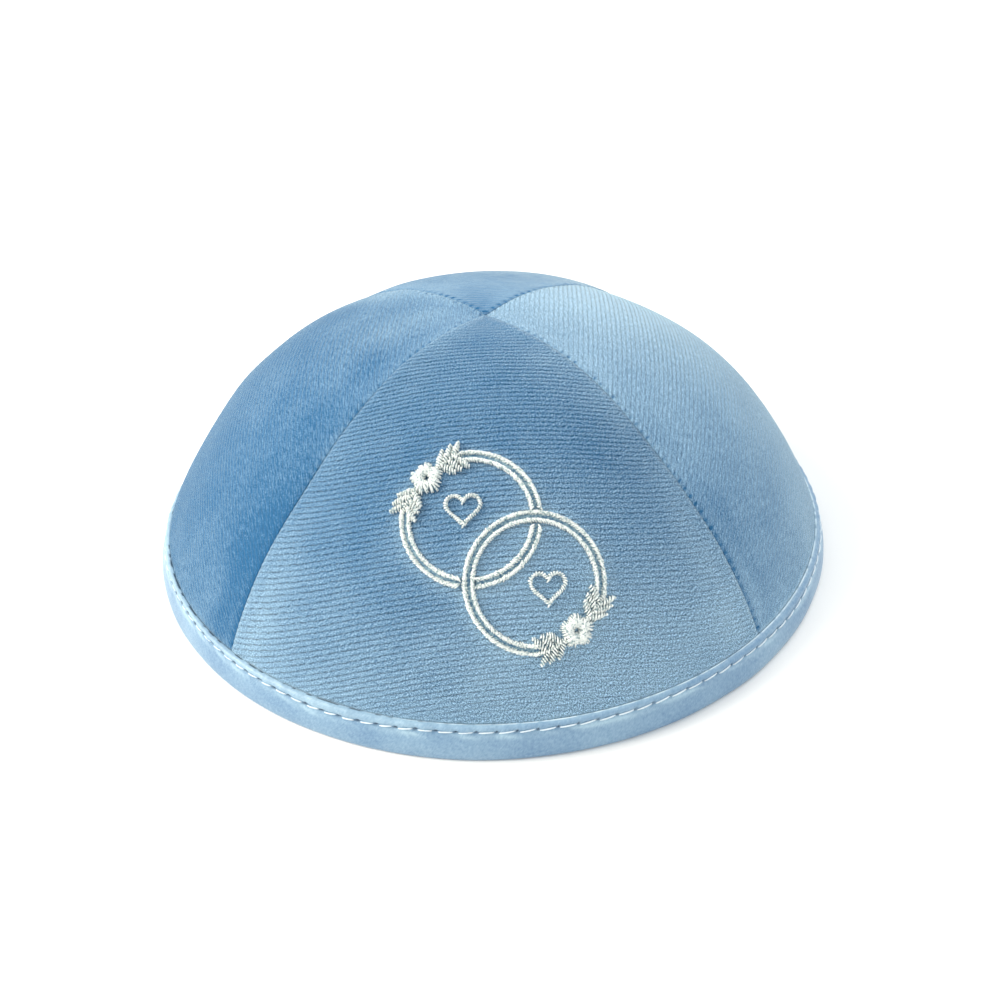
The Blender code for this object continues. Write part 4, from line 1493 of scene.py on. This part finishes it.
class SKULLCAP_OT_embroidery(bpy.types.Operator):
    """Stitch the linked rings, flowers and hearts"""

    bl_idname = "skullcap.embroidery"
    bl_label = "Stitch Embroidery"

    def execute(self, context):
        sizes, colours = cap_settings(context)
        shade, light = colours.thread_shade, colours.thread
        top = embroidery_thread("rayon_top_thread", shade, light, 0.36, 0.5)
        # The padding thread is painted in shade, darker than the top thread.
        shade, light = colours.padding_shade, colours.padding
        padding = embroidery_thread("rayon_padding_in_shade", shade, light, 0.42, 0.58)
        make_embroidery(sizes, top, padding)
        return {"FINISHED"}


class SKULLCAP_OT_stage(bpy.types.Operator):
    """Set the table, the lights and the camera"""

    bl_idname = "skullcap.stage"
    bl_label = "Set Stage"

    def execute(self, context):
        make_table(context.scene.skullcap_colours)
        make_lights(context.scene)
        make_camera(context.scene)
        return {"FINISHED"}


class SKULLCAP_PT_panel(bpy.types.Panel):
    """The skullcap's pieces, sizes and colours"""

    bl_idname = "SKULLCAP_PT_panel"
    bl_label = "Velvet Skullcap"
    bl_space_type = "VIEW_3D"
    bl_region_type = "UI"
    bl_category = "Skullcap"

    def draw(self, context):
        for group in cap_settings(context):
            box = self.layout.box()
            for key in group.__annotations__:
                box.prop(group, key)
        for step in STEPS:
            self.layout.operator(step.bl_idname)


STEPS = (
    SKULLCAP_OT_panels,
    SKULLCAP_OT_binding,
    SKULLCAP_OT_stitches,
    SKULLCAP_OT_embroidery,
    SKULLCAP_OT_stage,
)
CLASSES = (SkullcapSizes, SkullcapColours, *STEPS, SKULLCAP_PT_panel)


def register():
    for cls in CLASSES:
        bpy.utils.register_class(cls)
    bpy.types.Scene.skullcap_sizes = bpy.props.PointerProperty(type=SkullcapSizes)
    bpy.types.Scene.skullcap_colours = bpy.props.PointerProperty(type=SkullcapColours)


def unregister():
    del bpy.types.Scene.skullcap_colours
    del bpy.types.Scene.skullcap_sizes
    for cls in reversed(CLASSES):
        bpy.utils.unregister_class(cls)


def main():
    register()
    bpy.ops.skullcap.panels()
    bpy.ops.skullcap.binding()
    bpy.ops.skullcap.stitches()
    bpy.ops.skullcap.embroidery()
    bpy.ops.skullcap.stage()


if __name__ == "__main__":
    main()
